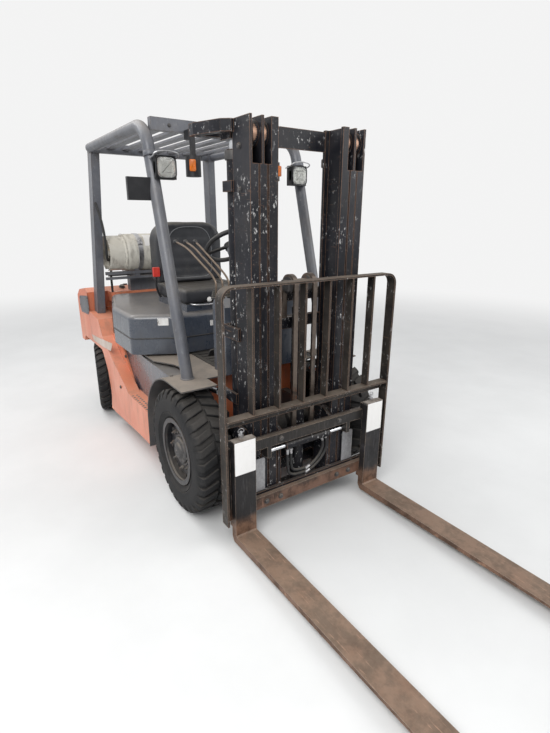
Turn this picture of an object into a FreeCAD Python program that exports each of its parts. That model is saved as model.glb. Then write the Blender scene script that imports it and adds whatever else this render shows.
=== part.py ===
import FreeCAD, Part
import math
import os
import re
import Sketcher
from FreeCAD import Placement, Rotation, Vector

# Three-tonne counterbalance forklift with a three-stage mast, LPG tank and side shift.
# Millimetres and degrees. X runs forward to the fork tips, Y to the driver's left, Z up.
# The origin is on the floor under the middle of the whole length. In the code below, an x
# is counted from the front axle, and axle_x moves it to the origin.

# Driving sizes
SIZES = {
    # Whole truck
    "axle_x": 217,
    "wheelbase": 1700,
    "rear_overhang": 441,
    "side_y": 600,
    "running_gap": 0.3,
    # Front wheels
    "front_wheel_y": 510,
    "front_tyre_radius": 353,
    "front_tyre_width": 220,
    "front_rim_seat": 180,
    # Rear wheels and their knuckles
    "rear_tyre_radius": 294,
    "rear_tyre_width": 175,
    "rear_rim_seat": 127,
    "kingpin_y": 345,
    "kingpin_to_wheel": 175,
    "kingpin_radius": 22,
    "steer_rest": -12,
    "beam_half": 55,
    # Mast rails
    "rail_front": 390,
    "rail_depth": 150,
    "rail_low": 100,
    "rail_top": 2015,
    "rail_web": 12,
    "rail_flange": 18,
    "outer_out": 335,
    "outer_width": 45,
    "middle_out": 286,
    "middle_width": 40,
    "inner_out": 239,
    "inner_width": 51,
    "notch": 190,
    "crown_x": 14,
    "crown_half": 440,
    "crown_height": 52,
    "roller_bite": 11,
    "tie_thick": 14,
    "tie_x": 122,
    "cheek": 12,
    # Axle tube that carries the mast, and the mast's bracket
    "axle_tube_radius": 60,
    "bracket_thick": 20,
    # Cylinders
    "lift_y": 290,
    "lift_x": 178,
    "lift_barrel": 38,
    "lift_bore": 30,
    "lift_rod": 25,
    "free_x": 316,
    "free_barrel": 38,
    "free_bore": 30,
    "free_rod": 26,
    "free_top": 1160,
    "sheave_radius": 50,
    "sheave_y": 60,
    "chain_width": 26,
    "chain_thick": 12,
    "tilt_y": 362,
    "tilt_rear_x": -480,
    "tilt_rear_z": 600,
    "tilt_front_x": 110,
    "tilt_front_z": 690,
    "tilt_barrel": 32,
    "tilt_bore": 26,
    "tilt_rod": 18,
    # Carriage, side shift and forks
    "bar_back": 397,
    "bar_thick": 20,
    "shift_back": 421,
    "shift_thick": 26,
    "upper_bar_z": 480,
    "upper_bar_top": 537,
    "lower_bar_z": 130,
    "lower_bar_top": 200,
    "carriage_half": 480,
    "backrest_half": 541,
    "backrest_top": 1317,
    "backrest_low": 119,
    "backrest_foot": 691,
    "backrest_bar": 10,
    "shift_x": 413,
    "shift_barrel": 24,
    "shift_rod": 12,
    "shift_z": 440,
    "chain_anchor_z": 500,
    "fork_y": 440,
    "fork_width": 122,
    "fork_thick": 40,
    "fork_face": 487,
    "fork_length": 1220,
    "fork_top": 583,
    "blade_top": 53,
    # Overhead guard
    "guard_y": 490,
    "guard_tube": 33,
    "guard_rail_z": 2077,
    "guard_foot_x": -51,
    "guard_bend_x": -430,
    "guard_rear_x": "=-wheelbase + 100",
    "leg_width": 60,
    "lamp_y": 440,
    "lamp_z": 1851,
    "lamp_half": 58,
    # Body
    "fender_top": 750,
    "fender_inner": 400,
    "fender_outer": 605,
    "fender_thick": 8,
    "floor_z": 715,
    "floor_thick": 8,
    "step_z": 425,
    "wheel_swing": 386,
    "arch_top": 600,
    "ledge_low_x": "=-wheelbase + 215",
    "ledge_low_z": 835,
    "ledge_high_z": 860,
    "hood_low": 738,
    "hood_top": 1000,
    "hood_wall": 6,
    "hinge_x": "=-wheelbase + 52",
    "hinge_z": 985,
    "hinge_radius": 10,
    "hinge_pin": 5,
    "weight_front_x": "=-wheelbase - 62",
    "weight_top": 1040,
    "nose_top": 1010,
    "tow_pin_hole": 16,
    # Seat, tank and controls
    "seat_half": 255,
    "tank_x": "=-wheelbase + 50",
    "tank_z": 1322,
    "tank_radius": 147,
    "tank_half": 380,
    "wheel_x": -420,
    "wheel_z": 1430,
    "wheel_radius": 165,
    "wheel_rim": 14,
    "wheel_tilt": 40,
}

doc = FreeCAD.newDocument("forklift")
sheet = doc.addObject("Spreadsheet::Sheet", "Sizes")
for row, (name, value) in enumerate(SIZES.items(), 1):
    sheet.set(f"A{row}", name)
    sheet.set(f"B{row}", str(value))
    sheet.setAlias(f"B{row}", name)
doc.recompute()
S = type("Read", (), {name: float(sheet.get(name)) for name in SIZES})

WORD = re.compile(r"[a-z][a-z_0-9]*")
SIDES = (("right", -1), ("left", 1))
TURNS = {"x": ((0, 1, 0), 90), "y": ((1, 0, 0), -90), "z": ((0, 0, 1), 0)}
NODES = []


# Helpers that bind a shape's sizes and place to the sheet
def rule(text):
    """Return an expression in which each size's name points at its cell."""
    return WORD.sub(lambda m: "Sizes." + m[0] if m[0] in SIZES else m[0], str(text))


def bind(thing, **rules):
    """Bind properties of an object to expressions."""
    for prop, text in rules.items():
        thing.setExpression(prop, rule(text))
    return thing


def place(thing, at, turn=None, local=False):
    """Place an object; x is counted from the front axle unless local."""
    if turn:
        thing.Placement = Placement(Vector(), Rotation(Vector(*turn[0]), turn[1]))
    for axis, text in zip("xyz", at):
        shift = "axle_x + " if axis == "x" and not local else ""
        thing.setExpression(f"Placement.Base.{axis}", rule(f"{shift}{text}"))
    return thing


def block(x, y, z, local=False):
    """Return a box between low and high ends along each axis."""
    thing = doc.addObject("Part::Box", "block")
    bind(thing, Length=f"({x[1]}) - ({x[0]})", Width=f"({y[1]}) - ({y[0]})", Height=f"({z[1]}) - ({z[0]})")
    return place(thing, (x[0], y[0], z[0]), local=local)


def bar(axis, at, radius, length, local=False):
    """Return a cylinder that runs from a point along an axis."""
    thing = doc.addObject("Part::Cylinder", "bar")
    bind(thing, Radius=radius, Height=length)
    return place(thing, at, TURNS[axis], local)


def cut(base, *tools):
    """Return a solid with others cut from it."""
    tool = tools[0] if len(tools) == 1 else join(*tools)
    thing = doc.addObject("Part::Cut", "cut")
    thing.Base = base
    thing.Tool = tool
    return thing


def join(*parts):
    """Return several shapes fused, or the one shape given."""
    if len(parts) == 1:
        return parts[0]
    thing = doc.addObject("Part::MultiFuse", "join")
    thing.Shapes = list(parts)
    return thing


def group(*parts):
    """Return solids that don't touch as one compound."""
    thing = doc.addObject("Part::Compound", "group")
    thing.Links = list(parts)
    return thing


def mirror(part):
    """Return the left-hand copy of a right-hand piece."""
    thing = doc.addObject("Part::Mirroring", "mirror")
    thing.Source = part
    thing.Normal = Vector(0, 1, 0)
    return thing


def pair(part):
    """Return a right-hand piece with its left-hand copy."""
    return group(part, mirror(part))


def sketch(body, role, points):
    """Draw a closed outline on one of the body's own planes, each corner bound to the sheet."""
    drawing = body.newObject("Sketcher::SketchObject", "outline")
    plane = [f for f in body.Origin.OriginFeatures if f.Role == role][0]
    drawing.AttachmentSupport = [(plane, "")]
    drawing.MapMode = "FlatFace"
    probe = [(value(u), value(v)) for u, v in points]
    count = len(points)
    for i in range(count):
        start, end = probe[i], probe[(i + 1) % count]
        drawing.addGeometry(Part.LineSegment(Vector(*start, 0), Vector(*end, 0)))
    for i in range(count):
        drawing.addConstraint(Sketcher.Constraint("Coincident", i, 2, (i + 1) % count, 1))
    for i, corner in enumerate(points):
        for kind, text, number in zip(("DistanceX", "DistanceY"), corner, probe[i]):
            mark = drawing.addConstraint(Sketcher.Constraint(kind, -1, 1, i, 1, number))
            if isinstance(text, str):
                drawing.setExpression(f"Constraints[{mark}]", rule(text))
    return drawing


def value(text):
    """Return the number that a size expression gives."""
    if not isinstance(text, str):
        return float(text)
    return float(sheet.evalExpression(rule(text).replace("Sizes.", "")))


def profile(role, points, width, at=("0", "0", "0"), local=False):
    """Return an outline padded to a width, evenly to both sides of its plane."""
    body = doc.addObject("PartDesign::Body", "profile")
    drawing = sketch(body, role, points)
    pad = body.newObject("PartDesign::Pad", "pad")
    pad.Profile = drawing
    pad.SideType = "Symmetric"
    bind(pad, Length=width)
    return place(body, at, local=local)


def turned(points, at=("0", "0", "0"), local=True):
    """Return an outline of radius and y turned about the Y axis."""
    body = doc.addObject("PartDesign::Body", "turned")
    drawing = sketch(body, "XY_Plane", points)
    spin = body.newObject("PartDesign::Revolution", "spin")
    spin.Profile = drawing
    spin.ReferenceAxis = (drawing, ["V_Axis"])
    spin.Angle = 360
    return place(body, at, local=local)


def bent_bar(points, radius, bend):
    """Return a round bar along straight runs joined by tangent arcs."""
    path = [Vector(*p) + Vector(S.axle_x, 0, 0) for p in points]
    edges = []
    start = path[0]
    for before, corner, after in zip(path, path[1:], path[2:]):
        back = (before - corner).normalize()
        ahead = (after - corner).normalize()
        half = back.getAngle(ahead) / 2
        reach = bend / math.tan(half)
        middle = corner + (back + ahead).normalize() * (bend / math.sin(half) - bend)
        edges.append(Part.LineSegment(start, corner + back * reach).toShape())
        edges.append(Part.Arc(corner + back * reach, middle, corner + ahead * reach).toShape())
        start = corner + ahead * reach
    edges.append(Part.LineSegment(start, path[-1]).toShape())
    wire = Part.Wire(edges)
    disc = Part.Wire(Part.Circle(path[0], path[1] - path[0], radius).toShape())
    thing = doc.addObject("Part::Feature", "bent_bar")
    thing.Shape = wire.makePipeShell([disc], True, False)
    return thing


def feature(name, shape):
    """Return an object that holds a shape worked out here."""
    thing = doc.addObject("Part::Feature", name)
    thing.Shape = shape
    return place(thing, ("0", "0", "0"))


def hood_prism(inset, low, high):
    """Return the hood's plan, moved in by an inset, as an upright prism."""
    right = [(-560, 300), (-704, 585), (S.hinge_x + 548, 585), (S.hinge_x + 12, 440)]
    outline = [(x, -y) for x, y in right] + [(x, y) for x, y in reversed(right)]
    face = Part.Face(Part.makePolygon([Vector(x, y, low) for x, y in outline + outline[:1]]))
    if inset:
        face = Part.Face(face.makeOffset2D(-inset).Wires[0])
    return face.extrude(Vector(0, 0, high - low))


def node(label, thing):
    """Name a sub-part."""
    thing.Label = label
    NODES.append(thing)
    return thing


# Wheels
def wheel_outlines(radius, width, seat, hub, dish):
    """Return the outlines of a tyre and its rim, as pairs of radius and y."""
    half = f"{width} / 2"
    tyre = (
        (seat, f"-{half} + 26"), (f"{seat} + 14", f"-{half} + 25"), (f"{seat} + 38", f"-{half} + 8"), (f"{radius} - 62", f"-{half}"),
        (f"{radius} - 24", f"-{half} + 6"), (f"{radius}", f"-{half} + 22"), (f"{radius}", f"{half} - 22"),
        (f"{radius} - 24", f"{half} - 6"), (f"{radius} - 62", f"{half}"), (f"{seat} + 38", f"{half} - 8"),
        (f"{seat} + 14", f"{half} - 25"), (seat, f"{half} - 26"),
    )
    rim = (
        (0, hub), (f"{seat} * 0.28", hub), (f"{seat} * 0.33", f"{hub} - 14"), (f"{seat} * 0.44", f"{hub} - 14"),
        (f"{seat} * 0.44", dish), (f"{seat} - 27", dish), (f"{seat} - 14", f"{dish} + 14"),
        (f"{seat} - 14", f"{half} - 14"), (f"{seat} + 12", f"{half} - 14"), (f"{seat} + 12", f"{half} - 22"),
        (f"{seat} - running_gap", f"{half} - 26"), (f"{seat} - running_gap", f"-{half} + 26"),
        (f"{seat} + 12", f"-{half} + 22"), (f"{seat} + 12", f"-{half} + 14"),
        (f"{seat} - 14", f"-{half} + 14"), (f"{seat} - 14", f"{dish} - 17"),
        (f"{seat} * 0.44", f"{dish} - 17"), (f"{seat} * 0.44", f"{dish} - 45"), (0, f"{dish} - 45"),
    )
    return tyre, rim


def front_wheels():
    """Make the two driven wheels, each a tyre and a rim with its hub."""
    tyre, rim = wheel_outlines("front_tyre_radius", "front_tyre_width", "front_rim_seat", 52, 12)
    for side, sign in SIDES:
        for what, outline in (("tyre", tyre), ("rim", rim)):
            outline = [(r, f"({y}) * {sign}") for r, y in outline]
            at = ("0", f"{sign} * front_wheel_y", "front_tyre_radius")
            node(f"front_{what}_{side}", turned(outline, at, local=False))


def knuckle_place(sign):
    """Return where a knuckle's own frame lies at rest."""
    return ("-wheelbase", f"{sign} * kingpin_y", "rear_tyre_radius")


def rear_wheels():
    """Make the two steered wheels and the knuckles that carry them."""
    tyre, rim = wheel_outlines("rear_tyre_radius", "rear_tyre_width", "rear_rim_seat", 38, 10)
    turn = ((0, 0, 1), S.steer_rest)
    for side, sign in SIDES:
        for what, outline in (("tyre", tyre), ("rim", rim)):
            outline = [(r, f"({y}) * {sign}") for r, y in outline]
            wheel = turned(outline, ("0", f"{sign} * kingpin_to_wheel", "0"), local=True)
            node(f"rear_{what}_{side}", place(group(wheel), knuckle_place(sign), turn))
        post = bar("z", ("0", "0", "-70"), "kingpin_radius", "140", local=True)
        body = bar("z", ("0", "0", "-36"), "36", "72", local=True)
        low, high = ("0", "kingpin_to_wheel - 35.5") if sign > 0 else ("35.5 - kingpin_to_wheel", "0")
        spindle = bar("y", ("0", low, "0"), "30", f"({high}) - ({low})", local=True)
        arm = block(("-52", "0"), ("-16", "16"), ("-12", "12"), local=True)
        node(f"knuckle_{side}", place(join(post, body, spindle, arm), knuckle_place(sign), turn))


# Chassis
def drive_axle():
    """Make the front axle's tube with its gear housing."""
    end = "front_wheel_y - 33.5"
    tube = bar("y", ("0", f"-({end})", "front_tyre_radius"), "axle_tube_radius", f"2 * ({end})")
    housing = turned(
        ((0, -130), (90, -130), (165, -60), (165, 60), (90, 130), (0, 130)), ("-20", "0", "front_tyre_radius"), False
    )
    mount = block(("-190", "-40"), ("-290", "-240"), ("front_tyre_radius - 60", "front_tyre_radius + 140"))
    node("drive_axle", join(tube, housing, mount, mirror(mount)))


def steer_axle():
    """Make the rear axle beam that pivots under the counterweight."""
    beam = block(("-wheelbase - beam_half", "-wheelbase + beam_half"), ("-280", "280"), ("235", "353"))
    plates = []
    for low, high in (("rear_tyre_radius - 70", "rear_tyre_radius - 46"), ("rear_tyre_radius + 46", "rear_tyre_radius + 70")):
        plates.append(block(("-wheelbase - beam_half", "-wheelbase + beam_half"), ("-kingpin_y", "kingpin_y"), (low, high)))
        for _, sign in SIDES:
            plates.append(bar("z", ("-wheelbase", f"{sign} * kingpin_y", low), "beam_half - 8", f"({high}) - ({low})"))
    bores = [
        bar("z", ("-wheelbase", f"{sign} * kingpin_y", "150"), "kingpin_radius + running_gap", "300") for _, sign in SIDES
    ]
    pivot = bar("x", ("-wheelbase - 170", "0", "380"), "45", "340")
    post = block(("-wheelbase - 50", "-wheelbase + 50"), ("-45", "45"), ("340", "380"))
    node("steer_axle", cut(join(beam, *plates, pivot, post), *bores))


def ledge_at(x):
    """Return the height of the side's sloping ledge at an x, as an expression."""
    slope = "(ledge_high_z - ledge_low_z) / (weight_front_x - ledge_low_x)"
    return f"ledge_low_z + ({x} - ledge_low_x) * {slope}"


def frame():
    """Make the chassis: side tanks with their sloping tops, cross plates and the axle saddles."""
    arch = "-wheelbase + wheel_swing"
    side = profile(
        "XZ_Plane",
        (
            (-462, 195), (-453, 300), (-453, "step_z"), (-840, "step_z"), (-900, 458), (-1170, 583), (-1405, 718),
            ("ledge_low_x", "ledge_low_z"), ("weight_front_x", "ledge_high_z"), ("weight_front_x", "arch_top"),
            (f"{arch} - 156", "arch_top"), (f"{arch} - 114", "arch_top - 28"), (f"{arch} - 36", 460),
            (arch, 340), (arch, 250), (f"{arch} - 36", 140), (-1214, 143), (-744, 180),
        ),
        "80", ("0", "40 - side_y", "0"),
    )
    shelf = cut(
        profile(
            "XZ_Plane",
            (
                ("ledge_low_x + 80", "ledge_low_z - 117"), ("ledge_low_x", "ledge_low_z"),
                ("weight_front_x", "ledge_high_z"), ("weight_front_x", 652), ("ledge_low_x + 80", 652),
            ),
            "150", ("0", "75 - side_y", "0"),
        ),
        feature("hood_space", hood_prism(-8, S.hood_low - 8, 1200)),
    )
    cheek = profile(
        "XZ_Plane",
        (
            (-930, "step_z"), (-1190, "hood_low - 10"), ("ledge_low_x", "hood_low - 10"), ("ledge_low_x", 640),
            (-1170, 540), (-930, "step_z - 20"),
        ),
        "12", ("0", "86 - side_y", "0"),
    )
    tank = block(("-1120", "-462"), ("45 - side_y", "-300"), ("200", "step_z"))
    rail = profile(
        "XZ_Plane",
        (
            (-205, 240), (-205, "floor_z"), (-1290, "floor_z"), (-1400, "hood_low - 8"), ("weight_front_x", "hood_low - 8"),
            ("weight_front_x", 660), (-1400, 660), (-1290, 240),
        ),
        "20", ("0", "-310", "0"),
    )
    outrigger = block(
        ("-wheelbase + 60", "-wheelbase + 140"), ("150 - side_y", "-310"), ("665", "hood_low - 10")
    )
    halves = [side, shelf, cheek, tank, rail, outrigger]
    halves += [mirror(part) for part in halves]
    bulkhead = block(("-205", "-190"), ("-320", "320"), ("240", "floor_z"))
    sump = block(("-1290", "-205"), ("-320", "320"), ("240", "256"))
    rear = block(("weight_front_x", "weight_front_x + 20"), ("-460", "460"), ("660", "880"))
    pivots = [
        block(("-wheelbase + 110", "-wheelbase + 150"), ("-60", "60"), ("300", "670")),
        block(("-wheelbase - 62", "-wheelbase + 150"), ("-320", "320"), ("655", "680")),
    ]
    bore = bar("x", ("-wheelbase - 200", "0", "380"), "45.3", "400")
    mounts = [block((f"{x}", f"{x} + 60"), ("-310", "310"), ("256", "329.7")) for x in (-1110, -800)]
    node("frame", cut(join(*halves, bulkhead, sump, rear, *pivots, *mounts), bore))


def counterweight():
    """Make the cast counterweight, cut away for the steered wheels."""
    rear = "-wheelbase - rear_overhang"
    swing = "-wheelbase - wheel_swing"
    outline = profile(
        "XZ_Plane",
        (
            (rear, "arch_top - 52"), (rear, 830), (f"{rear} + 12", "weight_top - 95"), (f"{rear} + 110", "weight_top - 35"),
            ("weight_front_x - 60", "weight_top"), ("weight_front_x", "nose_top"), ("weight_front_x", "arch_top"),
            (f"{swing} + 80", "arch_top"), (f"{swing} + 38", "arch_top - 52"),
        ),
        "2 * side_y",
    )
    tail = block((rear, swing), ("-330", "330"), ("260", "arch_top - 40"))
    nose = block(("weight_front_x - 1", "hinge_x - 17"), ("-430", "430"), ("930", "nose_top"))
    pocket = bar("x", (f"{rear} - 5", "0", "560"), "60", "65")
    pin_hole = bar("z", (f"{rear} + 32", "0", "450"), "tow_pin_hole", "600")
    pivot = block(("-wheelbase - 150", "-wheelbase - 110"), ("-60", "60"), ("300", "662"))
    stem = block((f"{swing} - 10", "-wheelbase - 111"), ("-60", "60"), ("480", "662"))
    bore = bar("x", ("-wheelbase - 200", "0", "380"), "45.3", "400")
    lug = block(("hinge_x - 20", "hinge_x"), ("-400", "-362"), ("hinge_z - hinge_radius", "hinge_z + hinge_radius"))
    knuckle = bar("y", ("hinge_x", "-400", "hinge_z"), "hinge_radius", "38")
    pin = bar("y", ("hinge_x", "-400", "hinge_z"), "hinge_pin", "98")
    hinges = [lug, knuckle, pin]
    hinges += [mirror(part) for part in hinges]
    whole = join(outline, tail, nose, pivot, stem, *hinges)
    node("counterweight", cut(whole, pocket, pin_hole, bore))


def engine():
    """Make the engine with its gearbox as one plain block."""
    node("engine", block(("-1250", "-650"), ("-230", "230"), ("330", "880")))


def fenders():
    """Make the plates over the front wheels, each a flat top that curves down behind."""
    top, thick, reach = S.fender_top, S.fender_thick, 375.0
    centre = Vector(-70, 0, top - reach)
    arcs = []
    for radius in (reach, reach - thick):
        middle = centre + Vector(-radius * math.sin(math.pi / 4), 0, radius * math.cos(math.pi / 4))
        arcs.append(Part.Arc(centre + Vector(0, 0, radius), middle, centre + Vector(-radius, 0, 0)).toShape())
    front, back = centre.x + 205, centre.x - reach
    outer = [Vector(front, 0, top), Vector(centre.x, 0, top)], [Vector(back, 0, top - reach), Vector(back - 8, 0, 190)]
    inner = (
        [Vector(back - 8 + thick, 0, 190), Vector(back + thick, 0, top - reach)],
        [Vector(centre.x, 0, top - thick), Vector(front, 0, top - thick)],
    )
    loop = [
        Part.makeLine(*outer[0]), arcs[0], Part.makeLine(*outer[1]), Part.makeLine(outer[1][1], inner[0][0]),
        Part.makeLine(*inner[0]), arcs[1], Part.makeLine(*inner[1]), Part.makeLine(inner[1][1], outer[0][0]),
    ]
    face = Part.Face(Part.Wire(Part.__sortEdges__(loop)))
    body = feature("fender", face.extrude(Vector(0, S.fender_outer - S.fender_inner, 0)))
    node("fenders", pair(place(body, ("0", "-fender_outer", "0"))))


def floor():
    """Make the driver's floor plate and the dark side walls between it and the steps."""
    plate = profile(
        "XY_Plane",
        (
            (-60, -395), (-260, -395), (-409, -423), (-560, -500), (-735, -505), (-735, -330), (-595, -330),
            (-595, 330), (-735, 330), (-735, 505), (-560, 500), (-409, 423), (-260, 395), (-60, 395),
        ),
        "floor_thick", ("0", "0", "floor_z + floor_thick / 2"),
    )
    node("floor_plate", plate)
    wall = profile(
        "XZ_Plane",
        (
            (-456, "step_z"), (-434, "step_z + 75"), (-382, "step_z + 175"), (-328, "step_z + 235"), (-275, "floor_z - 18"),
            (-660, "floor_z - 15"), (-776, "floor_z - 9"), (-1164, "step_z + 215"), (-950, "step_z"),
        ),
        "100", ("0", "-457", "0"),
    )
    node("step_walls", pair(wall))


def cowl():
    """Make the front cowl with the steering column."""
    cover = profile(
        "XZ_Plane",
        ((-40, "floor_z + floor_thick"), (-40, 1120), (-70, 1180), (-150, 1180), (-190, 1120), (-190, "floor_z + floor_thick")),
        "500",
    )
    node("cowl", cover)
    tilt = ((0, 1, 0), -S.wheel_tilt)
    column = bar("z", ("0", "0", "-460"), "28", "440", local=True)
    node("steering_column", cut(place(group(column), ("wheel_x", "0", "wheel_z"), tilt), cover))


def levers():
    """Make the three control levers right of the steering wheel."""
    rods = []
    for number in range(3):
        y = -160 - 42 * number
        foot = bent_bar([(-120, y, 1180), (-120, y, 1230), (-480, y - 60, 1440)], 7, 25)
        knob = bar("z", ("-482", f"{y - 60}", "1435"), "17", "34")
        rods.append(join(foot, knob))
    node("levers", group(*rods))


# Overhead guard, lamps and mirror
def guard_tube(gap):
    """Return the right-hand front tube of the guard, grown by a gap."""
    lean = (S.guard_bend_x - S.guard_foot_x) / (S.guard_rail_z - S.fender_top)
    foot = (S.guard_foot_x - 40 * lean, -S.guard_y, S.fender_top - 40)
    bend = (S.guard_bend_x, -S.guard_y, S.guard_rail_z)
    return bent_bar([foot, bend, (S.guard_rear_x - gap, -S.guard_y, S.guard_rail_z)], S.guard_tube + gap, 170)


def guard_leg():
    """Return the right-hand rear leg, which splays out and back to the ledge."""
    slope = (S.ledge_high_z - S.ledge_low_z) / (S.weight_front_x - S.ledge_low_x)
    wires = []
    for x, outside, z in (
        (S.weight_front_x + 10, 45 - S.side_y, None), (S.guard_rear_x - 60, -S.guard_y - 9, S.guard_rail_z - 37),
    ):
        corners = []
        for dx, dy in ((0, 0), (100, 0), (100, S.leg_width), (0, S.leg_width)):
            height = z or S.ledge_low_z + (x + dx - S.ledge_low_x) * slope
            corners.append(Vector(x + dx, outside + dy, height))
        wires.append(Part.makePolygon(corners + corners[:1]))
    return feature("leg", Part.makeLoft(wires, True, True))


def guard():
    """Make the overhead guard: bent front tubes, rear legs and the roof."""
    floor_cut = block(("-150", "150"), ("-600", "-400"), ("600", "fender_top"))
    node("guard_tubes", pair(cut(guard_tube(0), floor_cut)))
    space = guard_tube(S.running_gap)
    node("guard_legs", pair(guard_leg()))
    inner = "guard_y - guard_tube + 8"
    height = ("guard_rail_z - 32", "guard_rail_z + 33")
    front = block(("guard_bend_x - 20", "guard_bend_x + 20"), (f"-({inner})", inner), height)
    rear = block(("guard_rear_x - 10", "guard_rear_x + 40"), (f"-({inner})", inner), height)
    slats = []
    for number in range(7):
        y = -360 + 120 * number
        across = (f"{y - 28}", f"{y + 28}")
        slats.append(block(("guard_rear_x + 30", "guard_bend_x - 10"), across, ("guard_rail_z - 4", "guard_rail_z + 12")))
    foot = block(
        ("guard_rear_x - 60", "guard_rear_x + 45"), ("-guard_y - 9", "-guard_y + leg_width - 9"),
        ("guard_rail_z - 37", "guard_rail_z + 20"),
    )
    node("guard_roof", cut(join(front, rear, *slats, foot, mirror(foot)), space, mirror(space)))


def lamps():
    """Make the headlamps, the signal lamps and the mirror on the guard."""
    space = guard_tube(S.running_gap)
    size = "2 * lamp_half"
    case = doc.addObject("Part::Box", "case")
    bind(case, Length="50", Width=size, Height=size)
    case = place(case, ("-345", "-lamp_y - lamp_half", "lamp_z - lamp_half"))
    arm = block(("-372", "-330"), ("-lamp_y - 56", "-lamp_y - 20"), ("lamp_z - 13", "lamp_z + 13"))
    node("headlights", pair(cut(join(case, arm), space)))
    signal = bar("z", ("-330", "-265", "guard_rail_z - 262"), "42", "105")
    stem = block(("-342", "-318"), ("-277", "-253"), ("guard_rail_z - 157", "guard_rail_z - 67"))
    hook = block(("guard_bend_x + 20", "-318"), ("-277", "-253"), ("guard_rail_z - 68", "guard_rail_z - 20"))
    node("signal_lamps", pair(join(signal, stem, hook)))
    glass = block(("-352", "-326"), ("-642", "-518"), ("1686", "1801"))
    stay = block(("-348", "-326"), ("-522", "-500"), ("1735", "1755"))
    node("mirror_right", cut(join(glass, stay), space))


# Tank
def tank():
    """Make the gas tank on its cradle behind the seat."""
    radius, half = "tank_radius", "tank_half"
    shell = turned(
        (
            (0, f"-{half}"), (f"{radius} * 0.6", f"-{half} + 12"), (f"{radius} * 0.93", f"-{half} + 50"),
            (radius, f"-{half} + 90"), (radius, f"{half} - 90"), (f"{radius} * 0.93", f"{half} - 50"),
            (f"{radius} * 0.6", f"{half} - 12"), (0, half),
        ),
        ("tank_x", "0", "tank_z"), False,
    )
    collar = cut(
        bar("y", ("tank_x", f"-{half} - 66", "tank_z"), f"{radius} - 12", "126"),
        bar("y", ("tank_x", f"-{half} - 70", "tank_z"), f"{radius} - 18", "72"),
    )
    slot = block(
        ("tank_x - 46", "tank_x + 16"), (f"-{half} - 70", f"-{half} - 6"), (f"tank_z - {radius}", f"tank_z - {radius} + 30")
    )
    valve = bar("y", ("tank_x", f"-{half} - 45", "tank_z"), "22", "60")
    node("gas_tank", join(shell, cut(collar, slot), valve))
    saddles = []
    for y in (-230, 230):
        saddles.append(block(("tank_x - 110", "tank_x + 80"), (f"{y - 20}", f"{y + 20}"), ("tank_z - 190", "tank_z - 60")))
    bars = []
    for x, low, high, half in ((-90, -192, -162, 420), (70, -200, -180, 480), (70, -162, -138, 480)):
        bars.append(
            block((f"tank_x + {x - 12}", f"tank_x + {x + 12}"), (f"-{half}", f"{half}"), (f"tank_z + {low}", f"tank_z + {high}"))
        )
    foot = block(("weight_front_x", "tank_x - 30"), ("-260", "260"), ("nose_top", "tank_z - 187"))
    hollow = bar("y", ("tank_x", "-500", "tank_z"), f"{radius} + running_gap", "1000")
    node("tank_cradle", cut(join(*saddles, *bars, foot), hollow))


# Hood and seat
def hood():
    """Make the engine hood as a thin shell with a rounded top edge and hinge knuckles."""
    shapes = []
    for inset, low, high in ((0, S.hood_low, S.hood_top), (S.hood_wall, S.hood_low - 1, S.hood_top - S.hood_wall)):
        prism = hood_prism(inset, low, high)
        upright = [e for e in prism.Edges if abs(e.tangentAt(e.FirstParameter).z) > 0.9]
        prism = prism.makeFillet(60 - inset, upright)
        rim = [e for e in prism.Edges if min(v.Z for v in e.Vertexes) > high - 1]
        shapes.append(prism.makeFillet(34 - inset, rim))
    body = feature("hood_shell", shapes[0].cut(shapes[1]))
    knuckle = cut(
        join(
            bar("y", ("hinge_x", "-361.7", "hinge_z"), "hinge_radius", "60"),
            block(("hinge_x", "hinge_x + 18"), ("-361.7", "-301.7"), ("hinge_z - hinge_radius", "hinge_z + 2")),
        ),
        bar("y", ("hinge_x", "-370", "hinge_z"), "hinge_pin + 0.1", "80"),
    )
    node("hood", join(body, knuckle, mirror(knuckle)))


def seat():
    """Make the seat: base, cushion and back."""
    node("seat_base", block(("-1120", "-610"), ("-230", "230"), ("hood_top", "1050")))
    top = S.hood_top + 50
    for label, outline, corner, edge in (
        ("seat_cushion", ((-1100, top), (-1100, top + 88), (-820, top + 96), (-590, top + 104), (-590, top)), 70, 26),
        (
            "seat_back",
            ((-1005, top + 91.1), (-1115, top + 88.4), (-1195, top + 490), (-1170, top + 522), (-1115, top + 518), (-1075, top + 440)),
            120, 22,
        ),
    ):
        lift = Vector(0, 0, 0.3)
        side = Part.Face(Part.makePolygon([Vector(x, -S.seat_half, z) + lift for x, z in outline + outline[:1]]))
        body = side.extrude(Vector(0, 2 * S.seat_half, 0))
        if label == "seat_back":
            flank = [e for e in body.Edges if min(v.Z for v in e.Vertexes) > top + 485 and abs(e.tangentAt(0).y) < 0.1]
            shield = Part.makeBox(400, 2 * S.seat_half, 600, Vector(-1300, -S.seat_half, top + 518 - 600))
            ends = [e for e in shield.Edges if abs(e.tangentAt(0).x) > 0.9 and min(v.Z for v in e.Vertexes) > top]
            body = body.common(shield.makeFillet(corner, ends))
        else:
            ends = [e for e in body.Edges if abs(e.tangentAt(0).z) > 0.9]
            body = body.makeFillet(corner, ends)
            rim = [e for e in body.Edges if min(v.Z for v in e.Vertexes) > top + 80]
            body = body.makeFillet(edge, rim)
        node(label, feature(label, body))


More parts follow.
